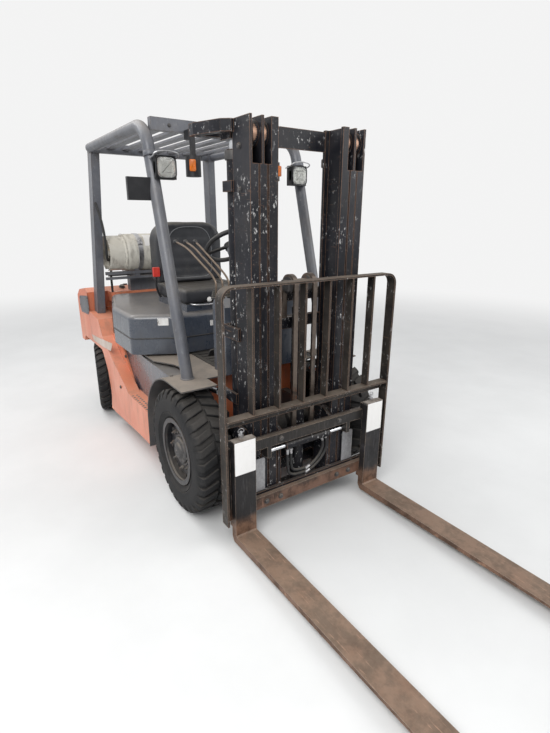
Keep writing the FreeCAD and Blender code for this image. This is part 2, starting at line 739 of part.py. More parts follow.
def steering_wheel():
    """Make the steering wheel with its spokes and hub."""
    rim = doc.addObject("Part::Torus", "rim")
    bind(rim, Radius1="wheel_radius - wheel_rim", Radius2="wheel_rim")
    hub = bar("z", ("0", "0", "-19.5"), "34", "32", local=True)
    spokes = [hub]
    for angle in (0, 120, 240):
        spoke = doc.addObject("Part::Box", "spoke")
        bind(spoke, Length="wheel_radius - wheel_rim", Width="24", Height="10")
        turn = Rotation(Vector(0, 0, 1), angle)
        spoke.Placement = Placement(turn.multVec(Vector(0, -12, -5)), turn)
        spokes.append(spoke)
    tilt = ((0, 1, 0), -S.wheel_tilt)
    node("steering_wheel", place(join(rim, *spokes), ("wheel_x", "0", "wheel_z"), tilt))


# Mast
def rail(out, width, web_at, inside=False):
    """Return the right-hand rail of one stage: a web and two flanges, the front one cut back at the top."""
    back = "rail_front - rail_depth"
    height = ("rail_low", "rail_top")
    web = block((back, "rail_front"), (f"-({out}) + {web_at}", f"-({out}) + {web_at} + rail_web"), height)
    across = (f"-({out})", f"-({out}) + {width}")
    depth = ("rail_front - rail_flange", "rail_front")
    front = block(depth, across, ("rail_low", "rail_top - notch"))
    rear = block((back, f"{back} + rail_flange"), across, height)
    lip = [block(depth, (f"-({out}) + {web_at}", across[1]), height)] if inside else []
    return [web, front, rear, *lip]


def roller(inner, outer, z):
    """Return a right-hand mast roller between two distances from the middle plane."""
    middle = "rail_front - rail_depth / 2"
    radius = "rail_depth / 2 - rail_flange - running_gap"
    return bar("y", (middle, f"-({outer})", z), radius, f"({outer}) - ({inner})")


def both_sides(parts):
    """Return right-hand parts with their mirror images."""
    return list(parts) + [mirror(part) for part in parts]


def tie(low, high, depth, half):
    """Return a cross plate between the rails."""
    return block(depth, (f"-({half})", half), (f"{low}", f"{high}"))


def mast():
    """Make the three stages of the mast with their ties, rollers, cylinders and rods."""
    back = "rail_front - rail_depth"
    rear_tie = ("tie_x", "tie_x + tie_thick")
    levels = (("rail_low + 10", "rail_low + 80"), ("rail_top - 1005", "rail_top - 940"))
    cheeks = [block(("tie_x", f"{back} + 40"), ("-outer_out - cheek", "-outer_out"), level) for level in levels]
    bracket = profile(
        "XZ_Plane",
        (
            (0, "front_tyre_radius - 88"), (f"{back} - 10", "rail_low + 20"), ("rail_front - 40", "rail_low + 20"),
            ("rail_front - 40", "rail_low + 460"), (f"{back} - 10", "rail_low + 460"), (0, "front_tyre_radius + 88"),
        ),
        "bracket_thick", ("0", "-outer_out - cheek - bracket_thick / 2", "0"),
    )
    spacer = block((back, f"{back} + 100"), ("-outer_out - cheek", "-outer_out"), ("rail_low + 50", "rail_low + 440"))
    ring = bar("y", ("0", "-outer_out - cheek - bracket_thick", "front_tyre_radius"), "88", "bracket_thick")
    bore = bar("y", ("0", "-outer_out - 50", "front_tyre_radius"), "axle_tube_radius + running_gap", "100")
    lug = block(
        ("tilt_front_x - 22", f"{back} + 4"), ("-outer_out - cheek", "-outer_out"), ("tilt_front_z - 30", "tilt_front_z + 30")
    )
    pin = bar("y", ("tilt_front_x", "-tilt_y - 18", "tilt_front_z"), "16", "tilt_y + 18 - outer_out - 6")
    holder = cut(
        block(("lift_x - 20", f"{back} + 4"), ("-outer_out - cheek", "-outer_out + 42"), ("rail_top - 300", "rail_top - 252")),
        bar("z", ("lift_x", "-lift_y", "rail_top - 400"), "lift_barrel + running_gap", "400"),
    )
    outer = rail("outer_out", "outer_width", "0") + cheeks + [spacer, lug, pin, holder, cut(join(bracket, ring), bore)]
    outer.append(roller("middle_out - roller_bite", "outer_out - rail_web", "rail_top - 65"))
    ties = [tie(low, high, rear_tie, "outer_out + cheek") for low, high in levels]
    half = (
        (f"{back} + 16", "outer_out"), (f"{back} + 16", "outer_out + cheek"), (f"{back} - 18", "outer_out + 50"),
        ("crown_x + 46", "crown_half"), ("crown_x", "crown_half"),
    )
    hollow = ((f"{back} - 2", "outer_out"), (f"{back} - 14", "outer_out + 8"), ("crown_x + 50", "crown_half - 45"))
    crown = profile(
        "XY_Plane",
        [(x, f"-({y})") for x, y in half] + [(x, y) for x, y in reversed(half)] + list(hollow)
        + [(x, f"-({y})") for x, y in reversed(hollow)],
        "crown_height", ("0", "0", "rail_top - crown_height / 2"),
    )
    node("mast_outer", join(*both_sides(outer), *ties, crown))

    seat = block(
        ("tie_x + tie_thick", "lift_x + 40"), ("-lift_y - 40", "-lift_y + 40"), ("rail_low + 10", "rail_low + 30")
    )
    barrel = cut(
        bar("z", ("lift_x", "-lift_y", "rail_low + 30"), "lift_barrel", "rail_top - rail_low - 145"),
        bar("z", ("lift_x", "-lift_y", "rail_low + 50"), "lift_bore", "rail_top - rail_low - 195"),
        bar("z", ("lift_x", "-lift_y", "rail_top - 215"), "lift_rod + running_gap", "200"),
    )
    node("lift_barrels", pair(join(seat, barrel)))
    node("lift_rods", pair(bar("z", ("lift_x", "-lift_y", "rail_low + 100"), "lift_rod", "rail_top - rail_low - 175")))

    middle_back = (f"{back} - tie_thick - 3", f"{back}")
    head = ("rail_top - 75", "rail_top")
    middle = rail("middle_out", "middle_width", "12")
    middle.append(roller("inner_out - roller_bite - 1", "middle_out - 24", "rail_top - 65"))
    middle.append(roller("middle_out - 12", "outer_out - rail_web - 1", "rail_low + 70"))
    middle.append(block(("lift_x - 55", f"{back} + 4"), ("-middle_out + 2", "-middle_out + middle_width"), head))
    middle.append(block(("lift_x - 55", "lift_x + 45"), ("-lift_y - 45", "-middle_out + middle_width"), head))
    levels = (("rail_low + 160", "rail_low + 230"), ("rail_top - 835", "rail_top - 775"))
    middle_ties = [tie(low, high, middle_back, "middle_out") for low, high in levels]
    beam = block(("lift_x - 55", "lift_x + 20"), ("-lift_y", "lift_y"), head)
    node("mast_middle", join(*both_sides(middle), *middle_ties, beam))

    inner = rail("inner_out", "inner_width", "14", inside=True)
    inner.append(roller("inner_out - 14", "middle_out - 25", "rail_low + 70"))
    inner_rear = (f"{back} + 6", f"{back} + 15")
    levels = (
        ("rail_low + 240", "rail_low + 300"), ("rail_top - 975", "rail_top - 915"), ("rail_top - 100", "rail_top - 8"),
    )
    inner_ties = [tie(low, high, inner_rear, "inner_out - inner_width + 4") for low, high in levels]
    inner_ties.append(
        tie("rail_top - 975", "rail_top - 915", (f"{back} + 12", f"{back} + 34"), "sheave_y + chain_width")
    )
    foot = tie("rail_low", "rail_low + 36", (f"{back} + 18", f"{back} + 118"), "inner_out - inner_width + 4")
    node("mast_inner", join(*both_sides(inner), *inner_ties, foot))

    free = cut(
        bar("z", ("free_x", "0", "rail_low + 36"), "free_barrel", "free_top - rail_low - 36"),
        bar("z", ("free_x", "0", "rail_low + 56"), "free_bore", "free_top - rail_low - 86"),
        bar("z", ("free_x", "0", "free_top - 260"), "free_rod + running_gap", "400"),
    )
    node("free_barrel", free)
    top = "free_top + 85"
    stem = bar("z", ("free_x", "0", "200"), "free_rod", f"{top} - 190")
    head = block(("free_x - 30", "free_x + 30"), ("-95", "95"), (f"{top} + 4", f"{top} + 56"))
    sheaves = [
        bar("y", ("free_x", f"{sign} * sheave_y - chain_width / 2 - 4", f"{top} + 30"), "sheave_radius - 6", "chain_width + 8")
        for _, sign in SIDES
    ]
    node("crosshead", join(stem, head, *sheaves))


def chains():
    """Make the two leaf chains from the carriage over the crosshead's sheaves."""
    runs = []
    for _, sign in SIDES:
        across = (f"{sign} * sheave_y - chain_width / 2", f"{sign} * sheave_y + chain_width / 2")
        front = block(
            ("free_x + sheave_radius - 6", "free_x + sheave_radius + chain_thick - 6"), across, ("chain_anchor_z", "free_top + 115")
        )
        rear = block(
            ("free_x - sheave_radius - chain_thick + 6", "free_x - sheave_radius + 6"), across,
            ("rail_top - 915", "free_top + 115"),
        )
        over = cut(
            bar("y", ("free_x", across[0], "free_top + 115"), "sheave_radius + 6", "chain_width"),
            bar("y", ("free_x", across[0], "free_top + 115"), "sheave_radius - 6", "chain_width"),
            block(("free_x - 90", "free_x + 90"), across, ("free_top", "free_top + 115")),
        )
        runs.append(join(front, rear, over))
    node("lift_chains", group(*runs))


# Tilt cylinders
def tilt_cylinders():
    """Make the tilt cylinders between the chassis and the mast."""
    run = Vector(S.tilt_front_x - S.tilt_rear_x, 0, S.tilt_front_z - S.tilt_rear_z)
    length = run.Length
    turn = Placement(Vector(), Rotation(Vector(1, 0, 0), run))
    barrel = cut(
        bar("x", ("45", "0", "0"), "tilt_barrel", f"{length - 195}", local=True),
        bar("x", ("65", "0", "0"), "tilt_bore", f"{length - 232}", local=True),
        bar("x", ("200", "0", "0"), "tilt_rod + running_gap", "400", local=True),
    )
    eye = join(
        bar("y", ("0", "-13", "0"), "30", "26", local=True), block(("0", "60"), ("-13", "13"), ("-20", "20"), local=True)
    )
    eye = cut(eye, bar("y", ("0", "-20", "0"), "16.3", "40", local=True))
    rod = bar("x", ("120", "0", "0"), "tilt_rod", f"{length - 150}", local=True)
    end = cut(
        join(rod, bar("y", (f"{length}", "-13", "0"), "34", "26", local=True)),
        bar("y", (f"{length}", "-20", "0"), "20", "40", local=True),
    )
    for label, part in (("tilt_barrels", join(barrel, eye)), ("tilt_rods", end)):
        part.Placement = turn
        place(part, ("tilt_rear_x", "-tilt_y", "tilt_rear_z"))
        node(label, pair(part))
    pin = bar("y", ("tilt_rear_x", "-tilt_y - 22", "tilt_rear_z"), "16", "tilt_y + 22 - 320")
    ear = block(("tilt_rear_x - 26", "tilt_rear_x + 26"), ("-tilt_y + 16", "-320"), ("tilt_rear_z - 30", "tilt_rear_z + 30"))
    node("tilt_anchors", pair(join(pin, ear)))


# Carriage, side shift and forks
def carriage():
    """Make the carriage that runs in the inner rails, with the shift cylinder on it."""
    front = "bar_back + bar_thick"
    bars = [
        tie("upper_bar_z - 10", "upper_bar_top - 7", ("bar_back", front), "carriage_half"),
        tie("lower_bar_z + 20", "lower_bar_top + 10", ("bar_back", front), "carriage_half"),
        tie("upper_bar_z + 8", "upper_bar_top - 17", (front, "shift_back - running_gap"), "carriage_half - 60"),
        tie("lower_bar_z + 30", "lower_bar_top - 10", (front, "shift_back - running_gap"), "carriage_half - 60"),
        tie("chain_anchor_z - 30", "chain_anchor_z", ("free_x + sheave_radius - 5", "bar_back"), "165"),
    ]
    side = profile(
        "XZ_Plane",
        (
            ("bar_back + 4", "lower_bar_z + 20"), ("bar_back + 4", "lower_bar_top"), ("bar_back - 6", "lower_bar_top + 12"),
            ("bar_back - 6", "upper_bar_z - 12"), ("bar_back + 4", "upper_bar_z"), ("bar_back + 4", "upper_bar_z + 50"),
            ("bar_back - 50", "upper_bar_z + 80"),
            ("bar_back - 128", "upper_bar_z + 80"), ("bar_back - 128", "lower_bar_z + 20"),
        ),
        "18", ("0", "-172", "0"),
    )
    wheels = [roller("181", "inner_out - 28", z) for z in ("lower_bar_z + 78", "upper_bar_z + 20")]
    node("carriage", join(*bars, *both_sides([side, *wheels])))
    half = "150"
    barrel = cut(
        bar("y", ("shift_x", f"-{half}", "shift_z"), "shift_barrel", f"2 * {half}"),
        bar("y", ("shift_x", f"-{half} + 14", "shift_z"), "shift_barrel - 6", f"2 * {half} - 28"),
        bar("y", ("shift_x", f"-{half} - 10", "shift_z"), "shift_rod + running_gap", f"2 * {half} + 20"),
    )
    saddle = block(("shift_x - 22", "bar_back + bar_thick"), ("-60", "60"), ("shift_z", "upper_bar_z - 10"))
    saddle = cut(saddle, bar("y", ("shift_x", "-70", "shift_z"), "shift_barrel - 3", "140"))
    node("shift_cylinder", join(barrel, saddle))


def shift_frame():
    """Make the side shift frame with its rods and the load backrest."""
    depth = ("shift_back", "shift_back + shift_thick")
    half = "backrest_half - backrest_bar"
    bars = [
        tie("upper_bar_z", "upper_bar_top", depth, half),
        tie("lower_bar_z", "lower_bar_top", depth, half),
    ]
    lugs = []
    for _, sign in SIDES:
        across = (f"{sign * 272} - 12", f"{sign * 272} + 12")
        lugs.append(block(depth, across, ("shift_z - 24", "upper_bar_z")))
        lugs.append(block(("shift_x - 14", "shift_back + 1"), across, ("shift_z - 24", "upper_bar_z - 15")))
    posts = []
    for _, sign in SIDES:
        middle = f"{sign} * (backrest_half - backrest_bar - 15)"
        posts.append(block(depth, (f"{middle} - 14", f"{middle} + 14"), ("lower_bar_top", "upper_bar_z")))
    node("shift_frame", join(*bars, *lugs, *posts))
    node("shift_rod", bar("y", ("shift_x", "-260", "shift_z"), "shift_rod", "520"))

    deep = ("shift_back + 1", "fork_face - 7")
    side = block(deep, ("-backrest_half", "-backrest_half + backrest_bar"), ("backrest_low", "backrest_top - 60"))
    top = tie("backrest_top - backrest_bar", "backrest_top", deep, "backrest_half - 60")
    bend = cut(
        bar("x", ("shift_back + 1", "60 - backrest_half", "backrest_top - 60"), "60", "fork_face - shift_back - 8"),
        bar("x", ("shift_back + 1", "60 - backrest_half", "backrest_top - 60"), "60 - backrest_bar", "fork_face - shift_back - 8"),
        block(deep, ("60 - backrest_half", "140 - backrest_half"), ("backrest_top - 130", "backrest_top")),
        block(deep, ("-backrest_half", "140 - backrest_half"), ("backrest_top - 130", "backrest_top - 60")),
    )
    pieces = both_sides([side, bend])
    step = "2 * (backrest_half - backrest_bar) / 7"
    for number in range(1, 7):
        y = f"-backrest_half + backrest_bar + {step} * {number}"
        pieces.append(block(("shift_back + 6", "fork_face - 12"), (f"{y} - 5", f"{y} + 5"), ("backrest_foot - 10", "backrest_top - 5")))
    sill = tie("backrest_foot - 10", "backrest_foot", deep, "backrest_half - 5")
    lip = tie("backrest_foot - 55", "backrest_foot", ("shift_back + 1", "shift_back + 11"), "backrest_half - 5")
    node("backrest", join(*pieces, top, sill, lip))


def forks():
    """Make the two forks with their hooks."""
    for side, sign in SIDES:
        shank = profile(
            "XZ_Plane",
            (
                ("fork_face - fork_thick + 0.5", "blade_top - 12"), ("fork_face - fork_thick + 18", "blade_top - fork_thick"),
                ("fork_face + fork_length", "blade_top - 12"), ("fork_face + fork_length", "blade_top"),
                ("fork_face + 6", "blade_top"),
                ("fork_face", "blade_top + 6"), ("fork_face", "fork_top"), ("fork_face - fork_thick + 0.5", "fork_top"),
            ),
            "fork_width", ("0", f"{sign} * fork_y", "0"),
        )
        across = (f"{sign} * fork_y - fork_width / 2", f"{sign} * fork_y + fork_width / 2")
        depth = ("shift_back + 6", "fork_face - fork_thick + 1")
        hooks = [
            block(depth, across, ("upper_bar_top + running_gap", "upper_bar_top + 36")),
            block(depth, across, ("lower_bar_z - 36", "lower_bar_z - running_gap")),
        ]
        node(f"fork_{side}", join(shank, *hooks))


def gas_hose():
    """Make the hose from the tank's valve down to the engine bay."""
    x, y, z = S.tank_x, -S.tank_half - 34, S.tank_z
    hose = bent_bar([(x, y, z - 22), (x, y, z - 105), (x - 30, y, z - 200), (x - 30, y, S.nose_top)], 9, 50)
    node("gas_hose", hose)


for make in (
    front_wheels, rear_wheels, drive_axle, steer_axle, frame, counterweight, engine, fenders, floor, cowl, levers,
    guard, lamps, tank, gas_hose, hood, seat, steering_wheel, mast, chains, tilt_cylinders, carriage, shift_frame, forks,
):
    make()
doc.recompute()

# Each object is sound and each sub-part is a valid shape before any file is written
for thing in doc.Objects:
    if {"Invalid", "Error"} & set(thing.State):
        raise RuntimeError(f"{thing.Name} ({thing.Label}) failed: {thing.State}")
for thing in NODES:
    if thing.Shape.isNull() or not thing.Shape.isValid() or not thing.Shape.Solids:
        raise RuntimeError(f"{thing.Label} is not a sound solid")
os.makedirs("parts", exist_ok=True)
for thing in NODES:
    thing.Shape.exportStep(f"parts/{thing.Label}.step")
print(len(NODES), "sub-parts written")
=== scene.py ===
"""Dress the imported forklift: finishes, treads, cushions, lamps and small fittings.

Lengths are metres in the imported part's own frame: +X to the fork tips, +Y to the driver's left, +Z up.
"""

import logging
import math
from dataclasses import dataclass
from enum import Enum
from typing import Callable, Iterable, Sequence

import bmesh
import bpy
from mathutils import Matrix, Vector


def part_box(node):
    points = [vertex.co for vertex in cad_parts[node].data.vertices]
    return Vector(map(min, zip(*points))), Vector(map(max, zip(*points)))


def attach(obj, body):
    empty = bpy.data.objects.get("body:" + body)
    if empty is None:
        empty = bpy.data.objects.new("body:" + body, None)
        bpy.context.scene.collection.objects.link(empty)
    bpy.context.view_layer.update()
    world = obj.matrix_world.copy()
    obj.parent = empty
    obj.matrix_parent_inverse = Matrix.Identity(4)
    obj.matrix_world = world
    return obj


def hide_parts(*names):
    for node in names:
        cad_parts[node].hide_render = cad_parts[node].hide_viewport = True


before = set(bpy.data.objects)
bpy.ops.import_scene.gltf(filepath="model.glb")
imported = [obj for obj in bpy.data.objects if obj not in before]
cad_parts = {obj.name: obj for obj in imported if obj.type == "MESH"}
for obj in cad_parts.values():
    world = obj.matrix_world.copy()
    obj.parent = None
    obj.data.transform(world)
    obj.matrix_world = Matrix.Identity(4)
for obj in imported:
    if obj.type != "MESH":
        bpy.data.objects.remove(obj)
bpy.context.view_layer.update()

Colour = tuple[float, float, float]
Point = tuple[float, float, float]
Thing = bpy.types.Object
Socket = bpy.types.NodeSocket

log = logging.getLogger("forklift")

AXLE_X = 0.217
"""How far the front axle stands ahead of the origin."""

TUBE_Y = 0.490
"""How far the front guard tubes stand from the middle."""

RIVET = 0.0022
"""The radius of a plate's rivets."""

UP, DOWN = (0.0, 0.0, 1.0), (0.0, 0.0, -1.0)
FRONT, BACK = (1.0, 0.0, 0.0), (-1.0, 0.0, 0.0)
LEFT, RIGHT = (0.0, 1.0, 0.0), (0.0, -1.0, 0.0)
STILL = (0.0, 0.0, 0.0)
ORIGIN = Matrix.Identity(4)


class Side(Enum):
    """The two sides of the truck, with the sign of Y on each."""

    RIGHT = -1
    LEFT = 1

    @property
    def word(self) -> str:
        """Return the side's name as the nodes spell it."""
        return self.name.lower()


class Graph:
    """A node tree in the making, with short calls for the nodes that finishes share."""

    def __init__(self, tree: bpy.types.NodeTree) -> None:
        """Keep the tree that the calls add to."""
        self.tree = tree

    def add(self, kind: str, **settings: object) -> bpy.types.Node:
        """Add a node.

        Args:
            kind: the node's type, without its ShaderNode prefix.
            settings: properties to set on the node.

        Returns:
            The new node.
        """
        node = self.tree.nodes.new("ShaderNode" + kind)
        for name, value in settings.items():
            setattr(node, name, value)
        return node

    def feed(self, socket: Socket, value: object) -> None:
        """Give a socket a value, or link another socket to it."""
        if isinstance(value, bpy.types.NodeSocket):
            self.tree.links.new(value, socket)
        elif isinstance(value, tuple) and len(value) == 3 and socket.type == "RGBA":
            socket.default_value = (*value, 1.0)
        else:
            socket.default_value = value

    def place(self) -> Socket:
        """Return the surface point in the object's own coordinates."""
        return self.add("TexCoord").outputs["Object"]

    def stretch(self, vector: Socket, scale: Point, turn: Point = STILL) -> Socket:
        """Return a point scaled and turned, so that a pattern lies along it."""
        node = self.add("Mapping")
        self.feed(node.inputs["Vector"], vector)
        node.inputs["Scale"].default_value = scale
        node.inputs["Rotation"].default_value = turn
        return node.outputs["Vector"]

    def noise(self, vector: Socket, scale: object, detail: float = 4.0, rough: float = 0.6) -> Socket:
        """Return fractal noise between 0 and 1."""
        node = self.add("TexNoise")
        self.feed(node.inputs["Vector"], vector)
        self.feed(node.inputs["Scale"], scale)
        node.inputs["Detail"].default_value = detail
        node.inputs["Roughness"].default_value = rough
        return node.outputs["Fac"]

    def reckon(self, kind: str, first: object, second: object) -> Socket:
        """Return the result of an operation on two numbers."""
        node = self.add("Math", operation=kind)
        self.feed(node.inputs[0], first)
        self.feed(node.inputs[1], second)
        return node.outputs[0]

    def plus(self, first: object, second: object) -> Socket:
        """Return a sum."""
        return self.reckon("ADD", first, second)

    def less(self, first: object, second: object) -> Socket:
        """Return a difference."""
        return self.reckon("SUBTRACT", first, second)

    def times(self, first: object, second: object) -> Socket:
        """Return a product."""
        return self.reckon("MULTIPLY", first, second)

    def weigh(self, first: object, share: float, second: object, other: float) -> Socket:
        """Return a sum of two numbers, each times its share."""
        return self.plus(self.times(first, share), self.times(second, other))

    def most(self, first: object, second: object) -> Socket:
        """Return the larger of two numbers."""
        return self.reckon("MAXIMUM", first, second)

    def step(self, value: object, low: object, high: object, top: object = 1.0) -> Socket:
        """Return a smooth rise from 0 to top as a value goes from low to high."""
        node = self.add("MapRange", interpolation_type="SMOOTHSTEP")
        for name, given in (("Value", value), ("From Min", low), ("From Max", high), ("To Max", top)):
            self.feed(node.inputs[name], given)
        return node.outputs["Result"]

    def lay(self, kind: str, first: int, give: int, *values: object) -> Socket:
        """Return one value laid over another by a mask, by the places of the sockets that the kind uses."""
        node = self.add("Mix", data_type=kind)
        for place, value in zip((0, first, first + 1), values):
            self.feed(node.inputs[place], value)
        return node.outputs[give]

    def mix(self, mask: object, under: object, over: object) -> Socket:
        """Return one colour laid over another by a mask."""
        return self.lay("RGBA", 6, 2, mask, under, over)

    def blend(self, mask: object, under: object, over: object) -> Socket:
        """Return one number laid over another by a mask."""
        return self.lay("FLOAT", 2, 0, mask, under, over)

    def bump(self, height: Socket, depth: float) -> Socket:
        """Return normals that follow a height, with its depth in metres."""
        node = self.add("Bump")
        self.feed(node.inputs["Height"], height)
        node.inputs["Distance"].default_value = depth
        return node.outputs["Normal"]

    def group(self, effect: bpy.types.NodeTree, **inputs: object) -> Socket:
        """Place a shared effect with its inputs set, and return its first output."""
        node = self.add("Group", node_tree=effect)
        for name, value in inputs.items():
            self.feed(node.inputs[name.replace("_", " ").capitalize()], value)
        return node.outputs[0]


class Effects:
    """The surface effects that several finishes share, each one a node group."""

    def __init__(self) -> None:
        """Build every group once."""
        self.edge = self.edge_wear()
        self.dust = self.settled_dust()
        self.grime = self.running_grime()
        self.scuff = self.scuffs()
        self.grain = self.fine_grain()
        self.fleck = self.flecks()

    @staticmethod
    def start(name: str, result: str, inputs: dict[str, float]) -> tuple[Graph, dict[str, Socket], Socket]:
        """Open a group with a point, named numbers and one result.

        Args:
            name: the group's name.
            result: the name of its output.
            inputs: the numbers that it takes, with their usual values.

        Returns:
            The group's graph, its inputs by name, and its output socket.
        """
        tree = bpy.data.node_groups.new(name, "ShaderNodeTree")
        tree.interface.new_socket("Vector", in_out="INPUT", socket_type="NodeSocketVector")
        for label, usual in inputs.items():
            tree.interface.new_socket(label, in_out="INPUT", socket_type="NodeSocketFloat").default_value = usual
        tree.interface.new_socket(result, in_out="OUTPUT", socket_type="NodeSocketFloat")
        graph = Graph(tree)
        enter = tree.nodes.new("NodeGroupInput")
        leave = tree.nodes.new("NodeGroupOutput")
        return graph, {socket.name: socket for socket in enter.outputs if socket.name}, leave.inputs[0]

    def edge_wear(self) -> bpy.types.NodeTree:
        """Return a mask of corners rubbed bare."""
        graph, take, give = self.start("edge wear", "Mask", {"Radius": 0.006, "Scale": 30.0, "Amount": 0.5})
        soft = graph.add("Bevel", samples=4)
        graph.feed(soft.inputs["Radius"], take["Radius"])
        flat = graph.add("NewGeometry")
        same = graph.add("VectorMath", operation="DOT_PRODUCT")
        graph.feed(same.inputs[0], soft.outputs["Normal"])
        graph.feed(same.inputs[1], flat.outputs["Normal"])
        corner = graph.step(graph.less(1.0, same.outputs["Value"]), 0.01, 0.16)
        patches = graph.noise(take["Vector"], take["Scale"], 6.0, 0.7)
        reach = graph.weigh(corner, 0.42, take["Amount"], 0.34)
        worn = graph.step(graph.plus(reach, patches), 0.98, 1.08)
        graph.feed(give, graph.times(worn, graph.step(corner, 0.02, 0.25)))
        return graph.tree

    def settled_dust(self) -> bpy.types.NodeTree:
        """Return a mask of dust, thick where the surface faces up."""
        graph, take, give = self.start("settled dust", "Mask", {"Scale": 6.0, "Amount": 0.5})
        flat = graph.add("NewGeometry")
        parts = graph.add("SeparateXYZ")
        graph.feed(parts.inputs[0], flat.outputs["Normal"])
        lying = graph.step(parts.outputs["Z"], -0.1, 0.95)
        broad = graph.noise(take["Vector"], take["Scale"], 5.0, 0.62)
        fine = graph.noise(take["Vector"], graph.times(take["Scale"], 9.0), 3.0, 0.6)
        cloud = graph.weigh(broad, 0.7, fine, 0.3)
        reach = graph.weigh(lying, 0.55, cloud, 1.1)
        thick = graph.step(reach, 0.55, 1.3)
        graph.feed(give, graph.times(thick, take["Amount"]))
        return graph.tree

    def running_grime(self) -> bpy.types.NodeTree:
        """Return a mask of dirt that ran down and dried."""
        graph, take, give = self.start("running grime", "Mask", {"Scale": 9.0, "Amount": 0.5})
        tall = graph.stretch(take["Vector"], (1.0, 1.0, 0.16))
        runs = graph.noise(tall, graph.times(take["Scale"], 3.0), 5.0, 0.65)
        patches = graph.noise(take["Vector"], take["Scale"], 5.0, 0.6)
        both = graph.weigh(runs, 0.55, patches, 0.45)
        graph.feed(give, graph.times(graph.step(both, 0.46, 0.68), take["Amount"]))
        return graph.tree

    def scuffs(self) -> bpy.types.NodeTree:
        """Return a mask of short scratches in two directions."""
        graph, take, give = self.start("scuffs", "Mask", {"Scale": 12.0, "Amount": 0.5})
        lines = []
        for turn in ((0.3, 0.7, 0.2), (1.1, -0.4, 0.9)):
            thin = graph.stretch(take["Vector"], (1.0, 14.0, 14.0), turn)
            line = graph.noise(thin, take["Scale"], 2.0, 0.5)
            lines.append(graph.step(line, 0.66, 0.70))
        gaps = graph.step(graph.noise(take["Vector"], take["Scale"], 3.0, 0.6), 0.48, 0.62)
        graph.feed(give, graph.times(graph.times(graph.most(*lines), gaps), take["Amount"]))
        return graph.tree

    def fine_grain(self) -> bpy.types.NodeTree:
        """Return the height of a cast, sprayed or moulded skin."""
        graph, take, give = self.start("fine grain", "Height", {"Scale": 300.0, "Waves": 6.0})
        skin = graph.noise(take["Vector"], take["Scale"], 3.0, 0.7)
        waves = graph.noise(take["Vector"], take["Waves"], 2.0, 0.5)
        graph.feed(give, graph.plus(graph.times(skin, 0.35), waves))
        return graph.tree

    def flecks(self) -> bpy.types.NodeTree:
        """Return a mask of small chips and spots, thick in some patches; on the grey paint the light spots it lays are
        partly painted highlight.
        """
        graph, take, give = self.start("flecks", "Mask", {"Scale": 110.0, "Amount": 0.5})
        tall = graph.stretch(take["Vector"], (1.0, 1.0, 0.5))
        spot = graph.step(graph.noise(tall, take["Scale"], 6.0, 0.72), 0.585, 0.645)
        patch = graph.step(graph.noise(take["Vector"], graph.times(take["Scale"], 0.09), 4.0, 0.65), 0.40, 0.58)
        graph.feed(give, graph.times(graph.times(spot, patch), take["Amount"]))
        return graph.tree


EFFECTS = Effects()


def blank_material(name: str) -> tuple[bpy.types.Material, Graph, bpy.types.Node]:
    """Return a new material with its graph and its Principled shader."""
    material = bpy.data.materials.new(name)
    material.use_nodes = True
    return material, Graph(material.node_tree), material.node_tree.nodes["Principled BSDF"]


@dataclass(frozen=True)
class Paint:
    """Sprayed paint with shade changes, rubbed corners, scuffs, runs of dirt and settled dust."""

    name: str
    colour: Colour
    faded: Colour
    bare: Colour = (0.10, 0.075, 0.06)
    bare_metal: float = 0.3
    dirt: Colour = (0.06, 0.05, 0.04)
    dust_colour: Colour = (0.36, 0.31, 0.25)
    rough: float = 0.38
    coat: float = 0.25
    wear: float = 0.45
    scuff: float = 0.4
    grime: float = 0.35
    dust: float = 0.35
    skin: float = 0.0006
    flecks: float = 0.0
    fleck_colour: Colour = (0.62, 0.61, 0.60)
    shine: float = 0.5

    def make(self) -> bpy.types.Material:
        """Return the paint as a material."""
        material, graph, shader = blank_material(self.name)
        place = graph.place()
        shade = graph.step(graph.noise(place, 3.5, 6.0, 0.65), 0.35, 0.68)
        worn = graph.group(EFFECTS.edge, vector=place, radius=0.006, scale=26.0, amount=self.wear)
        marks = graph.group(EFFECTS.scuff, vector=place, scale=9.0, amount=self.scuff)
        runs = graph.group(EFFECTS.grime, vector=place, scale=7.0, amount=self.grime)
        dust = graph.group(EFFECTS.dust, vector=place, scale=5.0, amount=self.dust)
        bared = graph.most(worn, graph.times(marks, 0.6))
        colour = graph.mix(shade, self.colour, self.faded)
        colour = graph.mix(bared, colour, self.bare)
        # Light flecks: chips and spots of the paint, and on the grey paint partly painted highlight.
        flecks = graph.group(EFFECTS.fleck, vector=place, scale=70.0, amount=self.flecks)
        colour = graph.mix(flecks, graph.mix(runs, colour, self.dirt), self.fleck_colour)
        colour = graph.mix(dust, colour, self.dust_colour)
        graph.feed(shader.inputs["Base Color"], colour)
        rough = graph.blend(graph.most(runs, bared), self.rough, 0.62)
        graph.feed(shader.inputs["Roughness"], graph.blend(dust, rough, 0.9))
        clean = graph.less(1.0, graph.most(dust, runs))
        graph.feed(shader.inputs["Metallic"], graph.times(graph.times(bared, clean), self.bare_metal))
        graph.feed(shader.inputs["Coat Weight"], graph.times(clean, self.coat))
        shader.inputs["Coat Roughness"].default_value = 0.16
        shader.inputs["Specular IOR Level"].default_value = self.shine
        grain = graph.group(EFFECTS.grain, vector=place, scale=260.0, waves=9.0)
        height = graph.less(graph.plus(grain, graph.times(dust, 0.4)), bared)
        graph.feed(shader.inputs["Normal"], graph.bump(height, self.skin))
        return material


